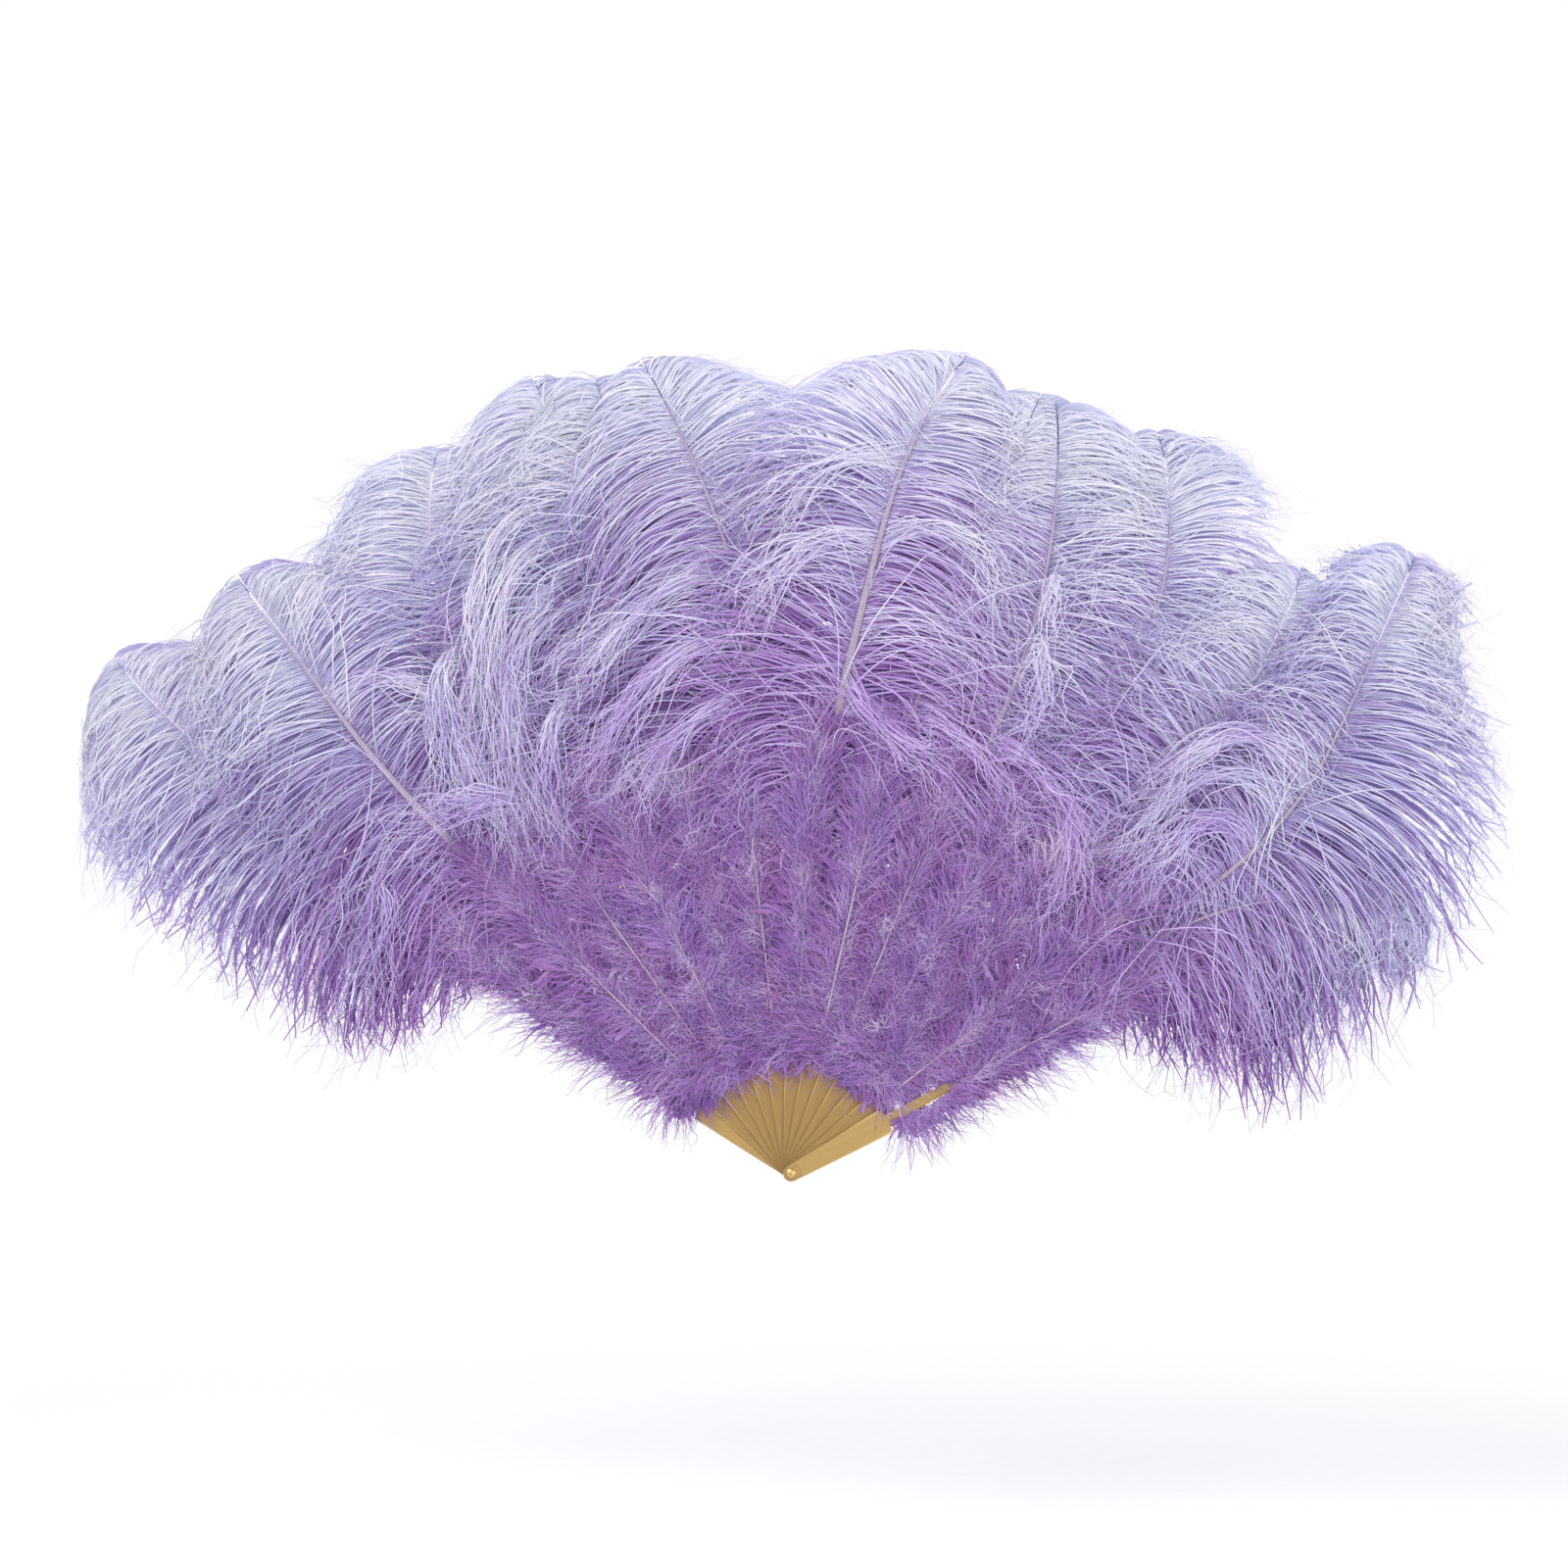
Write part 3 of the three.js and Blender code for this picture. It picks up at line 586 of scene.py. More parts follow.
# Long plumes
plume = {
    "seed": 4100,
    "quillStart": 205,         # distances from the rivet
    "tongueEnd": 236,
    "vaneStart": 258,
    "shaftFull": 278,
    "vaneLength": 392,         # of the longest
    "longestBarb": 140,
    "rootTurn": 1.35,          # of the barbs from the shaft, in radians
    "tipTurn": 1.2,
    "hang": 1.4,
    "hangSpread": (0.8, 1.2),
    "jitter": (0.2, 0.8),      # where a barb stands in its even share of the vane
    "curlShare": 0.72,         # of the way along a shaft, where its tip starts to curl
    "rootShare": 0.3,          # of the longest barb, where the vane starts
    "swellShare": 0.25,        # of the vane, over which the barbs reach their full length
    "endShare": 0.62,          # of the longest barb, at the tip
    "bluntExponent": 7,
    "overTip": 34,             # how far the vane goes on over the fold at its tip
    "shaftShort": 8,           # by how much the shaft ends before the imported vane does
    "shaftProud": 6,           # how far the shaft comes forward from among the barbs' roots
    "proudFrom": 0.3,          # of the way along it
    "crowding": 1.25,          # above one, the barbs stand closer towards the tip
    "fanShare": 0.8,           # of the vane, where its barbs start to close in on the tip
    "closeShare": 0.2,         # of their turn, which they lose there
    "closeHang": 0.3,          # and by how much more they hang
    "closeSpread": 0.1,        # and how much less evenly they lie, in radians
    "looseBetween": (0.6, 0.1),  # of the vane, over which its barbs lie ever less evenly
    "looseSpread": 2.0,
    "rootInset": 0.8,          # of the shaft's half width, where the barbs' roots are
    "depthRate": 6,            # one over the part of a barb in which it reaches its depth
    "tuckBetween": (0.02, 0.25),  # of a barb, over which it passes behind its shaft
    "liftTurn": 0.85,          # of half a turn, the sine that lifts a barb
    "liftPower": 0.8,
    "frizzWaves": (0.6, 2.2),  # of a barb
    "frizzPower": 2.6,
    "curlWaves": (2.0, 4.5),   # of its end
    "curlPower": 5.0,
    "tiltSpread": 0.25,
    "fullFrom": 0.7,           # of the vane, where the fuller strands begin
    "hemFrom": (0.36, 0.56),   # of the vane, between which its barbs start to turn over
    "hemBack": 20,             # how far before the tip the outline's heading is taken
    "hemReach": 22,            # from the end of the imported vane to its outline's highest point
    "hemRound": 80,            # radius of a plume's outline at its tip
    "hemRadius": 15,           # round which the tip turns over to the back
    "hemTurn": 1.9,            # by how much it does
    "hemRest": 26,             # how far anything goes on from there
    "hemSpread": 3.5,          # of the single barbs about the outline
    "hemDroop": 0.9,           # by which the outline falls off on its upper side
    "hemLevel": 25,            # over which it stays level there, in mm
    "flatDepth": 0.45,         # of the flat quill's middle, behind the gap to the tongue
    "fullDepth": 1.05,         # of the full shaft's
    "flatShare": 0.5,          # of the full width, behind the tongue
    "flatHalfDepth": 0.4,
    "taper": 0.72,             # what a shaft loses of its width towards the tip
    "taperPower": 1.3,
    "endTaper": 0.8,           # and once more close to it, in width and in depth
    "endPowers": (8, 1.2),
    "shaftTone": 0.035,
    "shaftStations": 50,
    "quillHalfWidths": (2.0, 3.9, 2.2, 2.0, 2.4, 2.8, 4.2, 2.0, 2.8, 2.4, 2.2, 2.4, 1.8),
    "quillHalfDepth": 1.0,
    # For each plume: its vane and its left and right barbs, as shares of the lengths above,
    # and by how many degrees its shaft leans, bows and curls away from its stick's line
    "shares": [
        (0.975, 0.95, 0.75), (0.892, 0.95, 0.85), (0.884, 0.9, 0.9), (0.925, 0.95, 0.9),
        (0.892, 0.9, 0.9), (0.901, 1.05, 0.95), (0.925, 1.05, 1.05), (0.884, 0.7, 0.85),
        (0.876, 0.6, 0.95), (0.901, 0.75, 0.95), (0.82, 0.75, 0.85), (0.995, 0.65, 1.25),
        (0.619, 1.0, 0.85),
    ],
    "shaftDegrees": [
        (0.3, -0.3, -1), (5.2, -7.9, 1), (-1, -5, -2), (-5, -5.3, 2.3), (-2.7, -0.6, 0.8),
        (-12, 16, -1), (-8.6, 1.9, -1.6), (-6, 1, 0), (-12, 15, -0.6), (-15.5, 18.8, 0.7),
        (-12, 12.5, 0), (-22.8, 31.5, -3.5), (20, -26, 0),
    ],
    # How far the left and right barbs of each plume pass behind their own shaft, in mm
    "tuck": [
        (0, 0), (0, -6), (16, 0), (0, 0), (0, 0), (-3, 0), (-4, -8), (16, 0), (12, 0), (10, -3),
        (0, -4), (-4, -12), (14, 0),
    ],
    # How much shorter the barbs get towards the tip on one side: 1 is the left, -1 the right
    "narrowing": {(9, -1): 0.24, (11, -1): 0.56, (12, -1): 0.6},
    "narrowBetween": (0.5, 0.9),  # of the vane
    # The vanes at the fan's lower edges, whose barbs draw together less and curl more
    "softEdges": ((0, 1), (1, 1), (11, -1), (12, -1)),
    "softPull": 0.4,
    "softCurl": 2.2,
    # Those whose first barbs are short, at first by this share and over this part of the vane
    "bareEdges": ((0, 1), (11, -1), (12, -1)),
    "bareShare": 0.2,
    "bareBetween": (0.02, 0.13),
    # The barbs in sets, from the back to the front of a vane, deeper in tone at the back as
    # painted shade and paler at the front as painted highlight
    "sets": [
        {   # broad soft ground, so that nothing shows through a vane
            "pitch": 2.4, "steps": 9, "width": 3.8, "tone": -0.13, "tilt": 0.15,
            "depth": 2.2, "lift": (-1, 7), "turnSpread": 0.04, "sizes": (1, 2),
            "pulls": (0.0, 0.2), "frizz": (0.5, 3.5), "barbules": 26, "barbule": 8.0,
            "lengths": (0.86, 1.05), "fullTip": 0.5, "curl": (1.0, 4.0), "softCount": 1.5,
        },
        {   # the finer barbs between the ribs
            "pitch": 1.6, "steps": 12, "width": 1.2, "tone": -0.03, "tilt": 0.3,
            "depth": 1.2, "lift": (-5, 4), "turnSpread": 0.07, "sizes": (3, 8),
            "pulls": (0.0, 0.4), "frizz": (1.0, 7.0), "barbules": 18, "barbule": 6.0,
            "lengths": (0.8, 1.1), "fullTip": 0.5, "curl": (2.0, 8.0), "softCount": 1.3,
        },
        {   # the regular ribs that the eye follows
            "pitch": 2.2, "steps": 15, "width": 1.3, "tone": 0.12, "tilt": 0.25,
            "depth": 0.0, "lift": (-7, 1), "turnSpread": 0.04, "sizes": (2, 7),
            "pulls": (0.05, 0.7), "frizz": (1.0, 9.0), "barbules": 24, "barbule": 5.0,
            "lengths": (0.84, 1.08), "fullTip": 0.0, "curl": (2.0, 9.0), "softCount": 1,
        },
        {   # loose fine barbs over them
            "pitch": 2.8, "steps": 16, "width": 1.0, "tone": 0.34, "tilt": 0.5,
            "depth": -0.8, "lift": (-14, -2), "turnSpread": 0.16, "sizes": (3, 10),
            "pulls": (0.2, 0.9), "frizz": (2, 14), "barbules": 16, "barbule": 3.5,
            "lengths": (0.6, 1.12), "fullTip": 0.0, "curl": (2.0, 8.0), "softCount": 1,
        },
        {   # a few long strays that cross the rest
            "pitch": 14, "steps": 18, "width": 0.9, "tone": 0.38, "tilt": 0.5,
            "depth": -1.2, "lift": (-20, -6), "turnSpread": 0.42, "sizes": (1, 4),
            "pulls": (0.2, 0.8), "frizz": (5.0, 15.0), "barbules": 16, "barbule": 3.0,
            "lengths": (0.7, 1.15), "fullTip": 0.0, "curl": (2.0, 8.0), "softCount": 1,
        },
    ],
    "swings": ((1.2, 0), (2.6, 1)),  # waves along a vane and their phase, least and most
    "swing": 0.13,             # how far whole stretches of a vane turn from the rest, in radians
    "swingHang": 0.35,         # and by how much they hang more or less
    # How pale the dye is: a least tone, and what is added outwards, upwards as painted light from
    # above, at the plume's tip, at a barb's end, in patches of painted light and shade, and at
    # random
    "pale": {
        "least": 0.268, "outwards": 0.24, "paintedLightAbove": 0.13, "tip": 0.27, "barbEnd": 0.1,
        "patch": 0.085, "spread": 0.045,
        "start": 260,          # distance from the rivet where it starts to grow outwards
        "beforeTip": 110,      # where the tip's part starts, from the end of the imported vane
        "afterTip": 15,
        "top": 600,            # how high the part upwards is full
        "patchSize": 66,
    },
    # How warm it is: the most, what is lost outwards and at the tip, and what is added in
    # patches, about the warmest place and at random
    "warm": {
        "most": 0.84, "outwards": 0.68, "tip": 0.18, "patch": 0.34, "about": 0.3,
        "spread": 0.06,
        "start": 250,
        "beforeTip": 120,
        "place": (60, 430),    # the warmest, x and z
        "reach": 260,
        "patchSize": 110,
    },
}


# Where the shaft is, along and across its stick's line: its turn from that line is the share
# of the way along times a lean, plus its square times a bow, plus the square of the share
# of its end times a curl.
def shaftPoints(stick, along):
    start, reach = plume["quillStart"], plumeReach(stick)
    lean, bow, curl = plume["shaftDegrees"][stick]
    share = (along - start) / (reach - start)
    tip = np.maximum(share - plume["curlShare"], 0) / (1 - plume["curlShare"])
    turn = np.radians(lean * share + bow * share ** 2 + curl * tip ** 2)
    return np.stack([along * np.cos(turn), along * np.sin(turn)], axis=-1)


# The direction of the shaft's line, taken over a few mm of it.
def shaftHeading(stick, along, reach=4):
    way = shaftPoints(stick, along + reach) - shaftPoints(stick, along - reach)
    return np.arctan2(way[..., 1], way[..., 0])


def plumeReach(stick):
    return plume["vaneStart"] + plume["vaneLength"] * plume["shares"][stick][0]


# From 0 behind the tongue to 1 where the shaft is full.
def clearOfTongue(along):
    return easeBetween(plume["tongueEnd"], plume["shaftFull"], along)


# Half a shaft's width: slim behind the tongue, full where the vane starts, and from there
# less by a power of the way along.
def shaftHalfWidth(stick, along):
    share = (along - plume["quillStart"]) / (plumeReach(stick) - plume["quillStart"])
    taper = 1 - plume["taper"] * np.clip(share, 0, 1) ** plume["taperPower"]
    full = mixValues(plume["flatShare"], 1, clearOfTongue(along))
    return plume["quillHalfWidths"][stick] * full * taper


# How pale a point of a plume is on its colour chart: paler further along the plume, most of
# all at its tip, higher up as painted light from above, towards a barb's end, and in patches
# of painted light and shade.
def plumeTone(stick, points, base, rng):
    rules, reach = plume["pale"], plumeReach(stick)
    radius = np.hypot(points[..., 0], points[..., 2])
    outwards = easeBetween(rules["start"], reach, radius)
    tip = easeBetween(reach - rules["beforeTip"], reach + rules["afterTip"], radius)
    # painted light from above: the higher a point, the paler it is painted
    paintedLightAbove = np.clip(points[..., 2] / rules["top"], 0, 1)
    share = np.linspace(0, 1, points.shape[1])[None, :]
    tone = rules["least"] + rules["outwards"] * outwards + rules["paintedLightAbove"] * paintedLightAbove
    tone = tone + rules["tip"] * tip + rules["barbEnd"] * share ** 2
    # patches of painted light and shade
    tone = tone + rules["patch"] * patchValues(points, rules["patchSize"], rng)
    return tone + base + rng.normal(0, rules["spread"], (len(points), 1))


# How warm a strand's dye is: less further along the plume and at its tip, in patches, and
# more about one place of the fan.
def plumeWarmth(stick, points, rng):
    rules, reach = plume["warm"], plumeReach(stick)
    middle = points[:, points.shape[1] // 2][:, None]
    radius = np.hypot(middle[..., 0], middle[..., 2])
    outwards = easeBetween(rules["start"], reach, radius)
    patch = patchValues(middle, rules["patchSize"], rng)
    away = np.hypot(middle[..., 0] - rules["place"][0], middle[..., 2] - rules["place"][1])
    about = rules["about"] * (1 - easeBetween(0, rules["reach"], away))
    about = about - rules["tip"] * easeBetween(reach - rules["beforeTip"], reach, radius)
    warmth = rules["most"] - rules["outwards"] * outwards + rules["patch"] * patch + about
    return warmth + rng.normal(0, rules["spread"], outwards.shape)


# A plume's tip turns over to the back at a rounded outline, a parabola about the tip that
# falls off more on its upper side. What lies beyond it is wound round a small circle, a
# sine forwards and one less a cosine backwards, and what is left goes on straight by the
# hyperbolic tangent of its length.
def hemOver(stick, plane, offset, held, spread):
    tip = shaftPoints(stick, np.array(plumeReach(stick)))
    heading = float(shaftHeading(stick, np.array(plumeReach(stick) - plume["hemBack"])))
    forward = np.array([math.cos(heading), math.sin(heading)])
    sideways = np.array([-math.sin(heading), math.cos(heading)])
    ahead, aside = (plane - tip) @ forward, (plane - tip) @ sideways
    above = np.maximum(aside * math.cos(heading + stickTurn(stick)), 0)
    droop = plume["hemDroop"] * above ** 2 / (above + plume["hemLevel"])
    radius, most, further = plume["hemRadius"], plume["hemTurn"], plume["hemRest"]
    fold = plume["hemReach"] - aside ** 2 / (2 * plume["hemRound"]) - droop - radius + spread
    beyond = held * np.maximum(ahead - fold, 0)
    turn = np.minimum(beyond / radius, most)
    rest = further * np.tanh((beyond - turn * radius) / further)
    ahead = ahead - beyond + radius * np.sin(turn) + rest * math.cos(most)
    plane = tip + ahead[..., None] * forward + aside[..., None] * sideways
    return plane, offset + radius * (1 - np.cos(turn)) + rest * math.sin(most)


# How long the barbs on one side are: they swell from the vane's start, fall towards the tip
# with the root of one minus a power of the way along, and are shorter where the vane
# narrows or its first barbs are bare.
def barbLengths(stick, side, place, rules, rng):
    swell = mixValues(plume["rootShare"], 1, np.clip(place / plume["swellShare"], 0, 1))
    blunt = np.sqrt(1 - place ** plume["bluntExponent"])
    length = plume["longestBarb"] * np.maximum(blunt, plume["endShare"]) * swell
    length = length * plume["shares"][stick][1 if side > 0 else 2]
    narrowing = plume["narrowing"].get((stick, side), 0)
    length = length * (1 - narrowing * easeBetween(*plume["narrowBetween"], place))
    if (stick, side) in plume["bareEdges"]:
        grown = easeBetween(*plume["bareBetween"], place)
        length = length * mixValues(plume["bareShare"], 1, grown)
    return length * rng.uniform(*rules["lengths"], len(place))


# How far the barbs turn from the shaft: less towards the tip, where they close in as well,
# with a wave along the vane and a spread that is wider low down and at the tip.
def barbTurns(place, closing, wave, rules, rng):
    turn = mixValues(plume["rootTurn"], plume["tipTurn"], place)
    turn = turn * (1 - plume["closeShare"] * closing)
    low = easeBetween(*plume["looseBetween"], place)
    spread = rules["turnSpread"] * (1 + plume["looseSpread"] * low)
    spread = spread + plume["closeSpread"] * closing
    return turn + plume["swing"] * wave + rng.normal(0, spread)


# The barbs on one side of a shaft, closer together towards the tip. They hang, lift off
# the vane by part of a sine, pass behind the shaft where the plume asks for it, turn over
# at the tip, and then draw into locks and curl.
def vaneParts(stick, side, rules, swing, rng):
    vane = plume["vaneLength"] * plume["shares"][stick][0] + plume["overTip"]
    soft = (stick, side) in plume["softEdges"]
    count = int(vane / rules["pitch"] * (rules["softCount"] if soft else 1))
    even = (np.arange(count) + rng.uniform(*plume["jitter"], count)) / count
    place = 1 - (1 - even) ** plume["crowding"]
    along = plume["vaneStart"] + vane * place
    length = barbLengths(stick, side, place, rules, rng)
    closing = easeBetween(plume["fanShare"], 1.0, place)
    wave = np.sin(2 * math.pi * (swing[0] * place + swing[1]))
    turn = barbTurns(place, closing, wave, rules, rng)
    heading = shaftHeading(stick, along)
    normal = np.stack([-np.sin(heading), np.cos(heading)], axis=-1) * side
    inset = shaftHalfWidth(stick, along) * plume["rootInset"]
    root = shaftPoints(stick, along) + normal * inset[:, None]
    down = -math.pi / 2 - stickTurn(stick)
    hang = plume["hang"] * rng.uniform(*plume["hangSpread"], count)
    hang = hang * (1 + plume["swingHang"] * wave + plume["closeHang"] * closing)
    plane = growStrands(root, heading + side * turn, length, hang, down, rules["steps"])
    share = np.linspace(0, 1, rules["steps"] + 1)[None, :]
    lift = rng.uniform(*rules["lift"], count)[:, None] * (length / plume["longestBarb"])[:, None]
    depth = rules["depth"] * np.minimum(share * plume["depthRate"], 1)
    depth = fan["tongueHalf"] + fan["gap"] + plume["fullDepth"] + depth
    tuck = plume["tuck"][stick][0 if side > 0 else 1] * easeBetween(*plume["tuckBetween"], share)
    rise = np.sin(plume["liftTurn"] * math.pi * share ** plume["liftPower"])
    offset = depth + tuck + lift * rise
    held = easeBetween(*plume["hemFrom"], place)[:, None]
    spread = rng.normal(0, plume["hemSpread"], (count, 1))
    plane, offset = hemOver(stick, plane, offset, held, spread)
    points = placeInFan(stick, plane, offset)
    pulls, curl = np.array(rules["pulls"]), np.array(rules["curl"])
    if soft:
        pulls, curl = pulls * plume["softPull"], curl * plume["softCurl"]
    points = drawIntoLocks(points, rules["sizes"], pulls, rng)
    points = addFrizz(points, rules["frizz"], plume["frizzWaves"], plume["frizzPower"], rng)
    points = addFrizz(points, curl, plume["curlWaves"], plume["curlPower"], rng)
    # The set's tone: painted shade for the sets at the back, painted highlight for those in front
    tone = plumeTone(stick, points, rules["tone"], rng)
    warmth = plumeWarmth(stick, points, rng)
    tilt = side * rules["tilt"] + rng.normal(0, plume["tiltSpread"], count)
    fullness = rules["fullTip"] * easeBetween(plume["fullFrom"], 1, place)[:, None]
    return strandParts(points, rules, tone, warmth, tilt, rng, fullness)


# The shaft: a flattened horn tube that thins towards the tip, lies flat behind its tongue,
# and comes forward in even measure from part of the way along.
def shaftParts(stick):
    end = plumeReach(stick) - plume["shaftShort"]
    along = np.linspace(plume["quillStart"], end, plume["shaftStations"])
    share = (along - along[0]) / (along[-1] - along[0])
    clear = clearOfTongue(along)
    widthPower, depthPower = plume["endPowers"]
    halfWidth = shaftHalfWidth(stick, along) * (1 - plume["endTaper"] * share ** widthPower)
    halfDepth = mixValues(plume["flatHalfDepth"], plume["quillHalfDepth"], clear)
    halfDepth = halfDepth * (1 - plume["endTaper"] * share ** depthPower)
    depth = mixValues(plume["flatDepth"], plume["fullDepth"], clear)
    offset = fan["tongueHalf"] + fan["gap"] + depth
    offset = offset - plume["shaftProud"] * np.maximum(share - plume["proudFrom"], 0)
    path = placeInFan(stick, shaftPoints(stick, along), offset)
    return tubeParts(path, halfWidth, halfDepth, plume["shaftTone"])


# Long loose locks that fall over the front of the fan. Each row: the stick, the way along
# the vane where the lock grows, a middle point that it swings past and its end, both as x
# and z in mm, and its number of strands.
locks = {
    "steps": 20,
    "rules": {"width": 1.1, "barbules": 20, "barbule": 3.2},
    # The locks are paler than the vanes behind them: a painted highlight on the strands in front
    "tone": 0.36,
    "warmth": 0.12,
    "perRow": 3.0,             # strands for each one in the rows below
    "rootSpread": 14,          # of the strands along the shaft, in mm either way
    "rootDepth": 1.0,          # of their roots, behind the gap to the tongue
    "spread": 17,              # of the strands in mm, times the shares at the middle and end
    "middleShares": (0.5, 0.3, 0.5),
    "endShares": (1, 0.25, 1),
    "lift": (14, 26),          # how far they stand in front of their shaft
    "sizes": (4, 11),          # of the locks that they draw into
    "pulls": (0.5, 0.95),
    "pullPower": 1.2,
    # Their waves and the curls at their ends: size in mm, number and power
    "waves": ((2, 9), (1.0, 3.0), 1.6),
    "curls": ((3, 11), (2.5, 5.0), 4.0),
    "tiltSpread": 0.5,
    "rows": [
        (1, 0.70, (-305, 415), (-245, 327), 16), (2, 0.55, (-268, 320), (-220, 249), 14),
        (2, 0.60, (-292, 400), (-240, 268), 16), (3, 0.80, (-264, 505), (-236, 335), 16),
        (3, 0.72, (-268, 470), (-212, 242), 20), (3, 0.60, (-252, 430), (-190, 228), 16),
        (3, 0.60, (-230, 402), (-196, 336), 12), (3, 0.40, (-200, 357), (-185, 249), 12),
        (2, 0.25, (-230, 297), (-307, 258), 10), (5, 0.60, (-125, 447), (-167, 357), 16),
        (5, 0.45, (-110, 410), (-155, 297), 18), (5, 0.30, (-88, 357), (-125, 275), 12),
        (6, 0.82, (12, 562), (-22, 470), 10), (6, 0.62, (-4, 502), (-40, 415), 10),
        (6, 0.64, (146, 518), (156, 425), 10), (6, 0.46, (130, 440), (168, 356), 8),
        (6, 0.30, (110, 335), (185, 205), 18), (6, 0.35, (70, 327), (119, 297), 10),
        (7, 0.30, (145, 342), (179, 260), 14), (8, 0.30, (205, 312), (224, 237), 16),
        (9, 0.25, (227, 260), (194, 185), 10), (8, 0.50, (200, 420), (188, 335), 8),
        (8, 0.62, (212, 480), (190, 392), 8),
        (11, 0.62, (330, 372), (272, 285), 14), (11, 0.52, (325, 350), (246, 250), 14),
        (11, 0.42, (320, 310), (262, 215), 14), (0, 0.35, (-300, 215), (-330, 140), 12),
    ],
}


# A lock's strands follow a curve through its three points, (1 - t) squared, 2 t (1 - t) and
# t squared of them, each strand with its own spread about that curve at its root and end.
def lockParts(row, rng):
    stick, place, middle, end, count = row
    count = int(count * locks["perRow"])
    vane = plume["vaneLength"] * plume["shares"][stick][0]
    along = plume["vaneStart"] + vane * place
    along = along + rng.uniform(-locks["rootSpread"], locks["rootSpread"], count)
    offset = fan["tongueHalf"] + fan["gap"] + locks["rootDepth"]
    root = placeInFan(stick, shaftPoints(stick, along), offset)[:, None]
    spread = rng.normal(0, 1, (2, count, 1, 3)) * locks["spread"]
    lift = rng.uniform(*locks["lift"], (count, 1, 1)) * np.array([0, -1, 0])
    level = root * np.array([0, 1, 0]) + lift
    near = np.array([middle[0], 0, middle[1]]) + level + spread[0] * locks["middleShares"]
    far = np.array([end[0], 0, end[1]]) + level + spread[1] * locks["endShares"]
    t = np.linspace(0, 1, locks["steps"] + 1)[None, :, None]
    points = root * (1 - t) ** 2 + near * 2 * t * (1 - t) + far * t ** 2
    points = drawIntoLocks(points, locks["sizes"], locks["pulls"], rng, locks["pullPower"])
    points = addFrizz(points, *locks["waves"], rng)
    points = addFrizz(points, *locks["curls"], rng)
    tone = plumeTone(stick, points, locks["tone"], rng)
    warmth = plumeWarmth(stick, points, rng) + locks["warmth"]
    tilt = rng.normal(0, locks["tiltSpread"], count)
    return strandParts(points, locks["rules"], tone, warmth, tilt, rng)


# Dyed ostrich plume: bleached, dyed lavender and steamed. Soft matt barbs that are violet
# where they lie deep, as painted shade, and nearly white at their ends, on a shaft of pale horn.
plumeMaterial = featherMaterial(
    "dyed ostrich plume",
    ((0.0, "#b8b4d2"), (0.06, "#a8a2c4"), (0.1, "#6a5590"), (0.3, "#8878b4"),
     (0.5, "#a9a4d8"), (0.7, "#c1c2ea"), (0.85, "#dbdff6"), (1.0, "#f2f5fe")),
    ((0.0, "#c6aeac"), (0.06, "#b59c9e"), (0.1, "#74449a"), (0.3, "#9a66b4"),
     (0.5, "#b689d3"), (0.7, "#cbabea"), (0.85, "#dccbf7"), (1.0, "#efe8fd")),
    (0.68, 0.85), 0.25,
)


def makePlume(stick):
    rng = np.random.default_rng(plume["seed"] + stick)
    parts = shaftParts(stick)
    for side in (1, -1):
        swing = rng.uniform(*plume["swings"])
        for rules in plume["sets"]:
            parts += vaneParts(stick, side, rules, swing, rng)
    for row in locks["rows"]:
        if row[0] == stick:
            parts += lockParts(row, rng)
    name = f"ostrich_plume_{stick + 1:02d}"
    makePiece(name, parts, plumeMaterial, bodyOf(stick), f"plume_{stick + 1:02d}")


for stick in range(fan["stickCount"]):
    makePlume(stick)
print("plumes made")

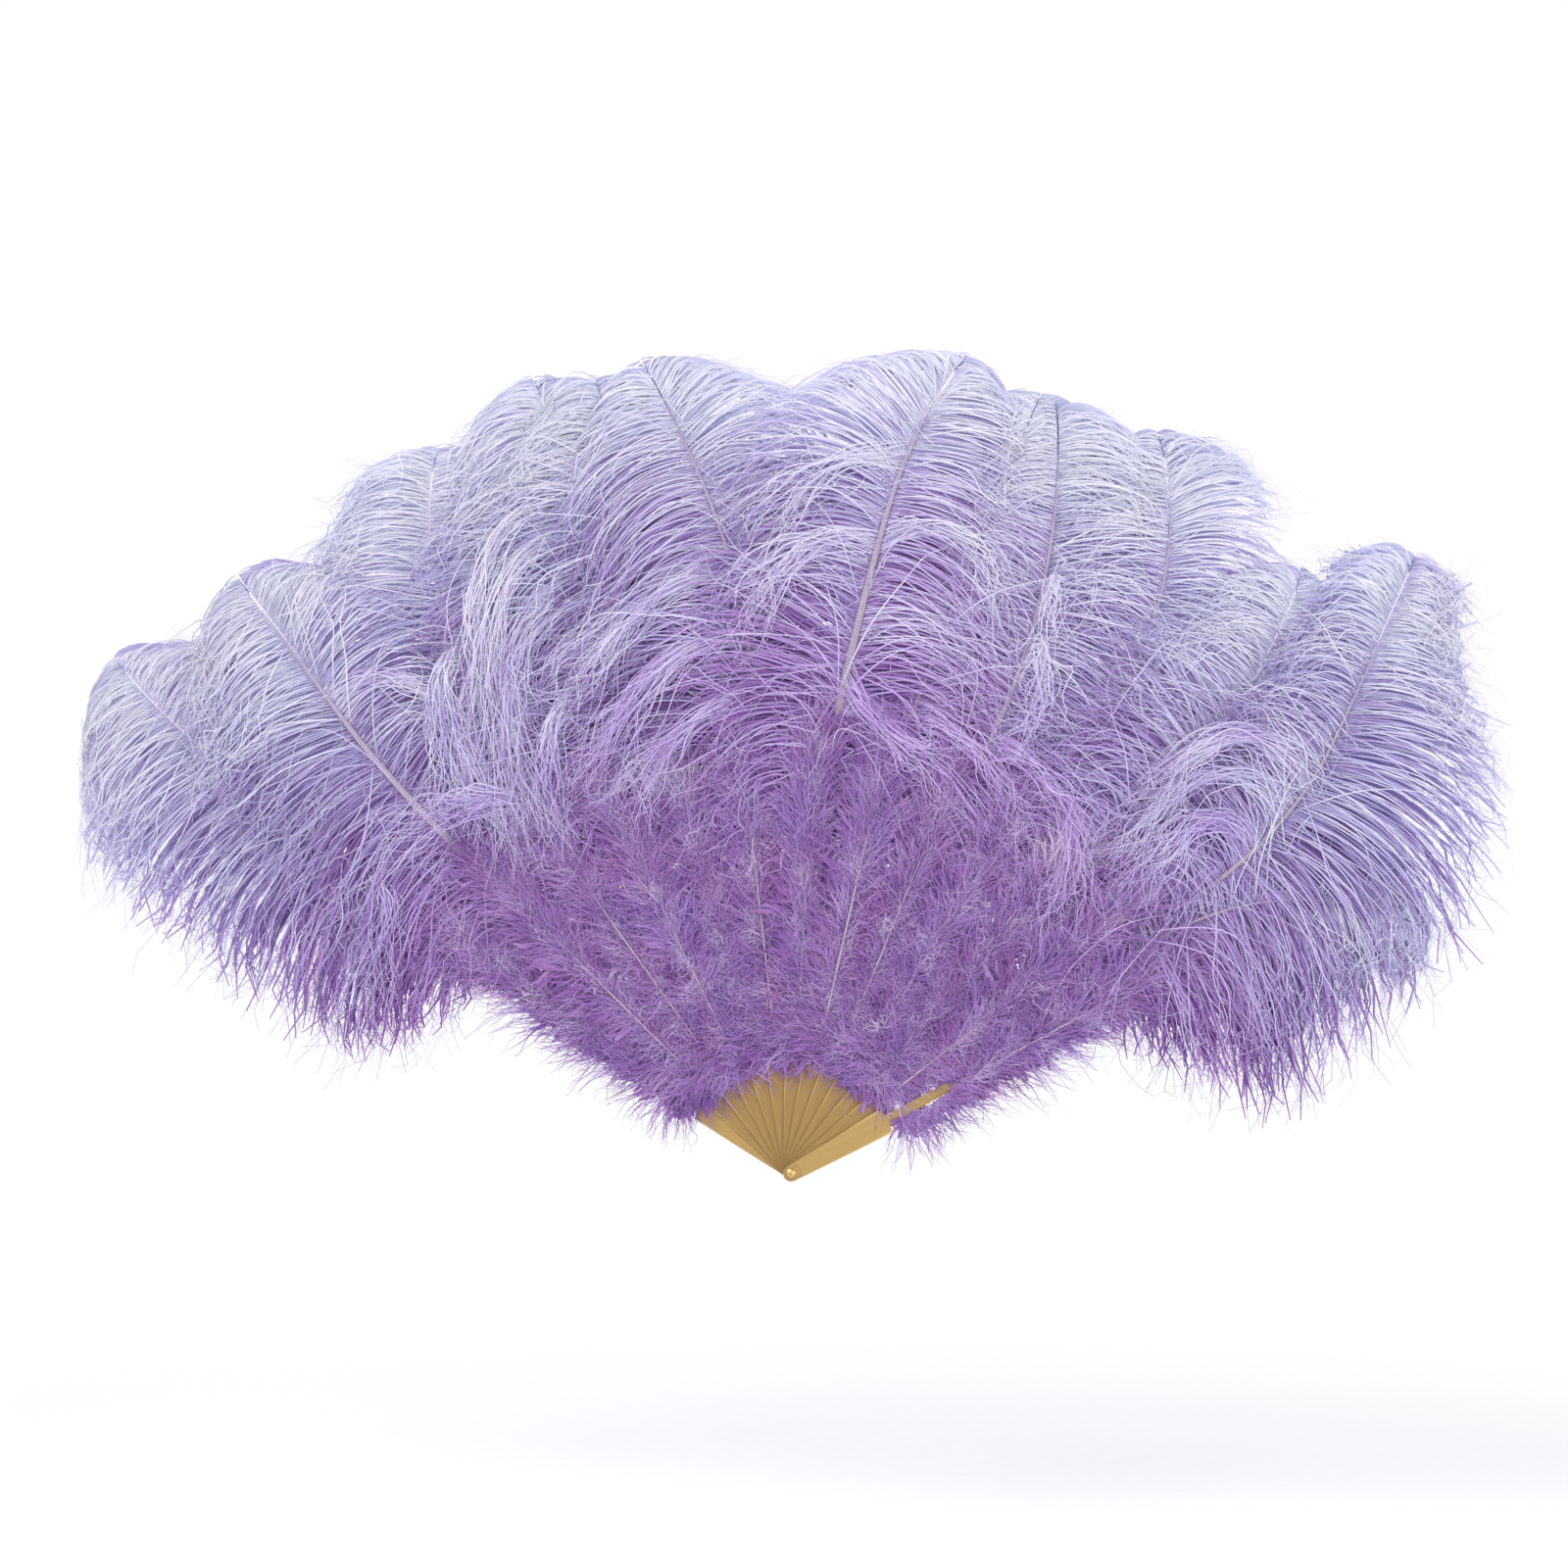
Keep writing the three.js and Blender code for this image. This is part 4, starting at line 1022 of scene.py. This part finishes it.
# Fluffy feathers over the tongues
fluff = {
    "seed": 7300,
    "quillStart": 93,
    "vaneStart": 94,
    "vaneEnd": 330,
    "depth": 0.5,              # of the quill's middle, in front of the gap to the tongue
    "quillHalfWidth": 0.85,
    "quillTaper": 0.6,
    "quillFlat": 0.6,          # its depth, as a share of its width
    "quillTone": 0.035,
    "quillStations": 24,
    "quillSides": 6,
    "quillBow": (3, 13),       # how far a feather bows forward
    "quillProud": (0, 6),      # and how much further its quill does
    "rootTurn": 0.95,
    "tipTurn": 0.35,
    "closeShare": 0.3,         # of the strands, which lie close along the quill
    "closeTurn": 0.35,         # of their turn, which those keep
    "rootLength": 0.75,        # of a strand's length, where the vane starts
    "fullRate": 2,             # one over the part of the vane in which they grow to all of it
    "hang": (-0.1, 0.4),
    "levelling": 0.4,          # by which the strands' rise levels out
    "pullPower": 1.3,
    "frizzWaves": (0.6, 1.8),
    "frizzPower": 1.1,
    "tilt": (-0.5, 0.5),
    "bareTo": 142,             # how far out the front guard's tongue shows
    "bareBetween": (0.85, 1.1),  # of that, over which the down takes it over
    "bareHalf": 5,             # how far aside the down stands there
    "bareTurn": 1.0,           # its least turn there
    "bareBack": 0.5,           # by how much the down next to it leans back
    "backTurn": 1.4,           # by which the first strands fall back over the blades
    "backTurnTo": 0.15,        # up to this share of the vane
    "backRise": 0.35,          # and stand further out
    "backRiseTo": 0.13,
    # How pale the down is: a least tone, and what is added outwards, at the ends of strands
    # that stand out as a painted highlight, in tufts and at random
    "pale": {
        "least": 0.47, "outwards": 0.06, "raisedEndHighlight": 0.1, "patch": 0.2, "spread": 0.05,
        "between": (150, 360), "patchSize": 36,
    },
    "paleTips": {4: 0.45, 10: 0.3},  # feathers whose end took little dye
    "paleTipBetween": (285, 325),
    "warm": {"middle": 0.5, "patch": 0.4, "spread": 0.06, "patchSize": 64.8},
    # The down in sets, from the back to the front of a feather, deeper in tone at the back as
    # painted shade and paler on the surface as painted highlight
    "sets": [
        {   # soft bed that fills the gaps between the sticks
            "count": 230, "steps": 6, "width": 6.0, "tone": -0.05,
            "length": (24, 40), "rise": (-0.2, 0.0), "spread": 0.4, "sizes": (1, 2),
            "pulls": (0, 0.2), "frizz": (0.5, 2.5), "barbules": 22, "barbule": 7.0,
            "edgeLength": 0.7,
        },
        {   # the down itself
            "count": 880, "steps": 7, "width": 0.8, "tone": 0.03,
            "length": (20, 58), "rise": (-0.3, 0.3), "spread": 0.38, "sizes": (2, 7),
            "pulls": (0.0, 0.3), "frizz": (1.0, 5.0), "barbules": 8, "barbule": 4.5,
            "edgeLength": 1.05,
        },
        {   # fine curled wisps on its surface
            "count": 380, "steps": 9, "width": 0.5, "tone": 0.22,
            "length": (12, 28), "rise": (0.1, 0.7), "spread": 0.8, "sizes": (6, 22),
            "pulls": (0.3, 0.95), "frizz": (1.0, 6.0), "barbules": 8, "barbule": 3.0,
            "edgeLength": 1.0,
        },
    ],
}
# The quills' depth from their stick's layer
fluffLevel = -fan["tongueHalf"] - fan["gap"] - fluff["depth"]


# How pale a point of down is: paler towards the plumes, at the ends of strands that stand
# out as a painted highlight, and in tufts.
def fluffTone(stick, points, height, base, rng):
    rules = fluff["pale"]
    radius = np.hypot(points[..., 0], points[..., 2])
    share = np.linspace(0, 1, points.shape[1])[None, :]
    tone = rules["least"] + rules["outwards"] * easeBetween(*rules["between"], radius)
    # painted highlight: the ends of strands that stand out are painted paler
    tone = tone + rules["raisedEndHighlight"] * share * height
    tone = tone + rules["patch"] * patchValues(points, rules["patchSize"], rng)
    paleTip = fluff["paleTips"].get(stick, 0)
    tone = tone + paleTip * easeBetween(*fluff["paleTipBetween"], radius)
    return tone + base + rng.normal(0, rules["spread"], (len(points), 1))


# How warm a strand of down is: about the middle of the chart, in patches.
def fluffWarmth(points, rng):
    rules = fluff["warm"]
    middle = points[:, points.shape[1] // 2][:, None]
    patch = patchValues(middle, rules["patchSize"], rng)
    return rules["middle"] + rules["patch"] * patch + rng.normal(0, rules["spread"], patch.shape)


# How far the strands on one side turn from the quill: less towards the tip, more where they
# fall back over the blades, and little for those that lie close along it.
def fluffTurns(place, rules, rng):
    turn = mixValues(fluff["rootTurn"], fluff["tipTurn"], place)
    turn = turn + fluff["backTurn"] * (1 - easeBetween(0, fluff["backTurnTo"], place))
    close = rng.uniform(0, 1, len(place)) < fluff["closeShare"]
    turn = turn * np.where(close, fluff["closeTurn"], 1)
    return turn + rng.normal(0, rules["spread"], len(place))


# The down on one side of a quill. The strands stand at a turn from the quill and a rise out
# of the fan's plane, and stand aside where the front guard's tongue shows.
def fluffParts(stick, side, rules, bow, rng):
    count, steps, last = rules["count"], rules["steps"], fan["stickCount"] - 1
    place = np.sort(rng.uniform(0, 1, count))
    start = fluff["bareTo"] if stick == last and side > 0 else fluff["vaneStart"]
    along = mixValues(start, fluff["vaneEnd"], place)
    bare = 1 - easeBetween(*fluff["bareBetween"], along / fluff["bareTo"])
    turn = fluffTurns(place, rules, rng)
    if stick == last:
        turn = np.maximum(turn, fluff["bareTurn"] * bare)
    length = rng.uniform(*rules["length"], count)
    full = np.clip(place * fluff["fullRate"], 0, 1)
    length = length * mixValues(fluff["rootLength"], 1, full)
    if (stick, side) in ((0, 1), (last, -1)):
        length = length * rules["edgeLength"]
    down = -math.pi / 2 - stickTurn(stick)
    root = np.stack([along, side * fluff["bareHalf"] * bare * (stick == last)], axis=-1)
    hang = rng.uniform(*fluff["hang"], count)
    rise = rng.uniform(*rules["rise"], count)
    rise = rise + fluff["backRise"] * (1 - easeBetween(0, fluff["backRiseTo"], place))
    if stick >= last - 1:
        rise = rise - fluff["bareBack"] * bare
    plane = growStrands(root, side * turn, length * np.cos(rise), hang, down, steps)
    share = np.linspace(0, 1, steps + 1)[None, :]
    lift = (length * np.sin(rise))[:, None] * share * (1 - fluff["levelling"] * share)
    offset = fluffLevel - lift - bow * np.sin(math.pi * place)[:, None]
    points = placeInFan(stick, plane, offset)
    points = drawIntoLocks(points, rules["sizes"], rules["pulls"], rng, fluff["pullPower"])
    points = addFrizz(points, rules["frizz"], fluff["frizzWaves"], fluff["frizzPower"], rng)
    # The set's tone: deeper in the bed as painted shade, paler in the wisps as painted highlight
    tone = fluffTone(stick, points, np.clip(rise, 0, 1)[:, None], rules["tone"], rng)
    warmth = fluffWarmth(points, rng)
    return strandParts(points, rules, tone, warmth, rng.uniform(*fluff["tilt"], count), rng)


# A quill: a flattened tube along its feather's middle line, which bows forward by half a
# sine and thins towards the tip.
def fluffQuillParts(stick, bow):
    start = fluff["bareTo"] if stick == fan["stickCount"] - 1 else fluff["quillStart"]
    along = np.linspace(start, fluff["vaneEnd"], fluff["quillStations"])
    share = (along - along[0]) / (along[-1] - along[0])
    line = np.stack([along, np.zeros(len(along))], axis=-1)
    path = placeInFan(stick, line, fluffLevel - bow * np.sin(math.pi * share))
    half = fluff["quillHalfWidth"] * (1 - fluff["quillTaper"] * share)
    flat = half * fluff["quillFlat"]
    return tubeParts(path, half, flat, fluff["quillTone"], fluff["quillSides"])


# Dyed marabou down: the dye takes deeper here than on the plumes, and the down is painted
# dark in its depth as painted shade and paler mauve on its surface as painted highlight.
fluffMaterial = featherMaterial(
    "dyed marabou down",
    ((0.0, "#dccbd6"), (0.06, "#ccb8c6"), (0.1, "#5e4492"), (0.3, "#8263b2"),
     (0.5, "#9e7fca"), (0.7, "#b69edc"), (0.85, "#cabaea"), (1.0, "#e6def6")),
    ((0.0, "#dec9c8"), (0.06, "#ceb6ba"), (0.1, "#6a3c84"), (0.3, "#905fa7"),
     (0.5, "#ab77bf"), (0.7, "#c097d3"), (0.85, "#d4b7e4"), (1.0, "#eedff4")),
    (0.8, 0.92), 0.35,
)


def makeFluff(stick):
    rng = np.random.default_rng(fluff["seed"] + stick)
    bow = rng.uniform(*fluff["quillBow"])
    parts = fluffQuillParts(stick, bow + rng.uniform(*fluff["quillProud"]))
    for side in (1, -1):
        for rules in fluff["sets"]:
            parts += fluffParts(stick, side, rules, bow, rng)
    name = f"marabou_feather_{stick + 1:02d}"
    replaced = f"fluff_feather_{stick + 1:02d}"
    makePiece(name, parts, fluffMaterial, bodyOf(stick), replaced)


for stick in range(fan["stickCount"]):
    makeFluff(stick)
print("down made")

# Linking thread between the sticks
thread = {
    "radius": 88,              # from the rivet's axis
    "depth": 0.375,            # of its middle, in front of the gap to the tongue
    "strandHalf": 0.24,
    "strandFlat": 0.7,         # a strand's depth, as a share of its width
    "strandSides": 6,
    "layHalf": 0.2,            # of the two strands from the middle of the thread
    "layFlat": 0.6,            # how much less that is from front to back
    "turns": 5,
    "stations": 41,
    "tones": (0.5, 0.6),       # of the two strands on the dye's chart
    "overhang": 1.6,           # past the middle of each tongue
    "folded": 0.2,             # of its span, when the fan is shut
}


# Two strands twisted round an arc about the rivet: each is the arc plus a small circle that
# turns with the way along it, half a turn apart.
def makeThread(stick):
    share = np.linspace(0, 1, thread["stations"])
    start = stickTurn(stick) + thread["overhang"] / thread["radius"]
    end = stickTurn(stick + 1) - thread["overhang"] / thread["radius"]
    turn = mixValues(start, end, share)
    centre = layerDepth(stick, thread["radius"])
    centre = centre - fan["tongueHalf"] - fan["gap"] - thread["depth"]
    parts = []
    for half, tone in enumerate(thread["tones"]):
        lay = 2 * math.pi * thread["turns"] * share + math.pi * half
        radius = thread["radius"] + thread["layHalf"] * np.cos(lay)
        depth = centre + thread["layFlat"] * thread["layHalf"] * np.sin(lay)
        path = np.stack([radius * np.cos(turn), depth, radius * np.sin(turn)], axis=-1)
        size = np.full(len(share), thread["strandHalf"])
        flat = size * thread["strandFlat"]
        parts += tubeParts(path, size, flat, tone, thread["strandSides"])
    name = f"thread_span_{stick + 1:02d}"
    replaced = f"link_thread_{stick + 1:02d}"
    piece = makePiece(name, parts, threadMaterial, bodyOf(stick), replaced)
    anchor = np.array([math.cos(stickTurn(stick)), 0, math.sin(stickTurn(stick))])
    anchor = anchor * thread["radius"] * metresPerMm
    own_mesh(piece)


# Twisted cotton thread, dyed with the down: matt, with a fine fuzz that softens its lay.
threadMaterial = featherMaterial(
    "twisted cotton thread",
    ((0.0, "#8d74b0"), (0.45, "#a58bc4"), (0.62, "#b6a0d2"), (1.0, "#cbb9e2")),
    ((0.0, "#9474b0"), (0.45, "#ac8bc4"), (0.62, "#bda0d2"), (1.0, "#d2b9e2")),
    (0.85, 0.9), 0.4,
)
for stick in range(fan["stickCount"] - 1):
    makeThread(stick)
print("threads made")

# Sticks
stickLook = {
    "grain": 0.6,              # width of the flow lines in the plastic
    "grainLength": 24,
    "edge": 8.2,               # from a blade's middle line, where its painted edge highlight is full
    "guardEdge": 9.2,
    "edgeFade": 1.2,           # over which the painted edge highlight fades in
    "pits": 0.5,               # size of the lacquer's pits
    "relief": 0.05,            # depth of the flow lines
    # The tones' first two stops are the plastic's flow lines; the last is the painted edge
    # highlight
    "innerTones": ((0.25, "#9a783e"), (0.75, "#ab884a"), (1, "#c6a55f")),
    "guardTones": ((0.25, "#b0904e"), (0.75, "#be9d5b"), (1, "#dabe7e")),
}
rivetLook = {
    "rings": 0.6,              # from one ring of the lathe to the next
    "waveScale": 20,           # what the wave node takes for one of its rings
}


# Injection-moulded polystyrene, lacquered gold: a warm satin yellow with flow lines along
# the stick, paler towards the edges as a painted edge highlight, and duller in the pits of
# the lacquer.
def stickMaterial(stick, name, tones, edge):
    material, tree = emptyMaterial(name)
    coordinates = addNode(tree, "TexCoord")
    turned = addNode(
        tree, "Mapping", values={"Rotation": (0, stickTurn(stick), 0)},
        links={0: coordinates.outputs["Object"]},
    )
    stretch = addNode(
        tree, "Mapping",
        values={"Scale": (1 / stickLook["grainLength"], 1, 1 / stickLook["grain"])},
        links={0: turned.outputs[0]},
    )
    flow = addNode(
        tree, "TexNoise", values={"Scale": 1 / metresPerMm, "Detail": 3},
        links={0: stretch.outputs[0]},
    )
    parts = addNode(tree, "SeparateXYZ", links={0: turned.outputs[0]})
    across = addNode(
        tree, "Math", {"operation": "ABSOLUTE"}, links={0: parts.outputs["Z"]},
    )
    # painted edge highlight: paler towards each edge of the blade
    paintedEdgeHighlight = addNode(
        tree, "MapRange",
        values={
            "From Min": (edge - stickLook["edgeFade"]) * metresPerMm,
            "From Max": edge * metresPerMm,
        },
        links={"Value": across.outputs[0]},
    )
    tone = addNode(tree, "ValToRGB", links={0: flow.outputs[0]}, stops=tones[:2])
    base = addNode(
        tree, "Mix", {"data_type": "RGBA"}, values={7: hexColour(tones[2][1])},
        links={0: paintedEdgeHighlight.outputs[0], 6: tone.outputs[0]},
    )
    speck = addNode(
        tree, "TexNoise",
        values={"Scale": 1 / (stickLook["pits"] * metresPerMm), "Detail": 2},
        links={0: coordinates.outputs["Object"]},
    )
    gloss = addNode(
        tree, "MapRange", values={"To Min": 0.3, "To Max": 0.5},
        links={"Value": speck.outputs[0]},
    )
    bump = addNode(
        tree, "Bump",
        values={"Strength": 0.25, "Distance": stickLook["relief"] * metresPerMm},
        links={"Height": flow.outputs[0]},
    )
    shader = addNode(
        tree, "BsdfPrincipled",
        values={"Metallic": 0.0, "IOR": 1.55, "Coat Weight": 0.2, "Coat Roughness": 0.3},
        links={
            "Base Color": base.outputs[2], "Roughness": gloss.outputs[0],
            "Normal": bump.outputs[0],
        },
    )
    addNode(tree, "OutputMaterial", links={"Surface": shader.outputs[0]})
    return material


# Turned brass: warm metal with fine rings from the lathe.
def rivetMaterial():
    material, tree = emptyMaterial("turned brass")
    coordinates = addNode(tree, "TexCoord")
    rings = addNode(
        tree, "TexWave",
        {"wave_type": "RINGS", "rings_direction": "Y"},
        values={
            "Scale": 1 / (rivetLook["rings"] * metresPerMm) / rivetLook["waveScale"],
            "Distortion": 0.4, "Detail": 1,
        },
        links={0: coordinates.outputs["Object"]},
    )
    tone = addNode(
        tree, "ValToRGB", links={0: rings.outputs[0]},
        stops=((0, "#b8955a"), (1, "#d6b978")),
    )
    gloss = addNode(
        tree, "MapRange", values={"To Min": 0.22, "To Max": 0.38},
        links={"Value": rings.outputs[0]},
    )
    shader = addNode(
        tree, "BsdfPrincipled", values={"Metallic": 1.0},
        links={"Base Color": tone.outputs[0], "Roughness": gloss.outputs[0]},
    )
    addNode(tree, "OutputMaterial", links={"Surface": shader.outputs[0]})
    return material


def giveMaterial(node, material):
    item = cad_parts[node]
    item.data.materials.clear()
    item.data.materials.append(material)


for stick in range(fan["stickCount"]):
    name = f"stick_{stick + 1:02d}"
    tones, edge = stickLook["innerTones"], stickLook["edge"]
    if stick in (0, fan["stickCount"] - 1):
        name = "guard_back" if stick == 0 else "guard_front"
        tones, edge = stickLook["guardTones"], stickLook["guardEdge"]
    giveMaterial(name, stickMaterial(stick, f"lacquered stick {stick + 1}", tones, edge))
brass = rivetMaterial()
for name in ("rivet_pin", "rivet_washer_back", "rivet_washer_front"):
    giveMaterial(name, brass)
print("sticks finished")
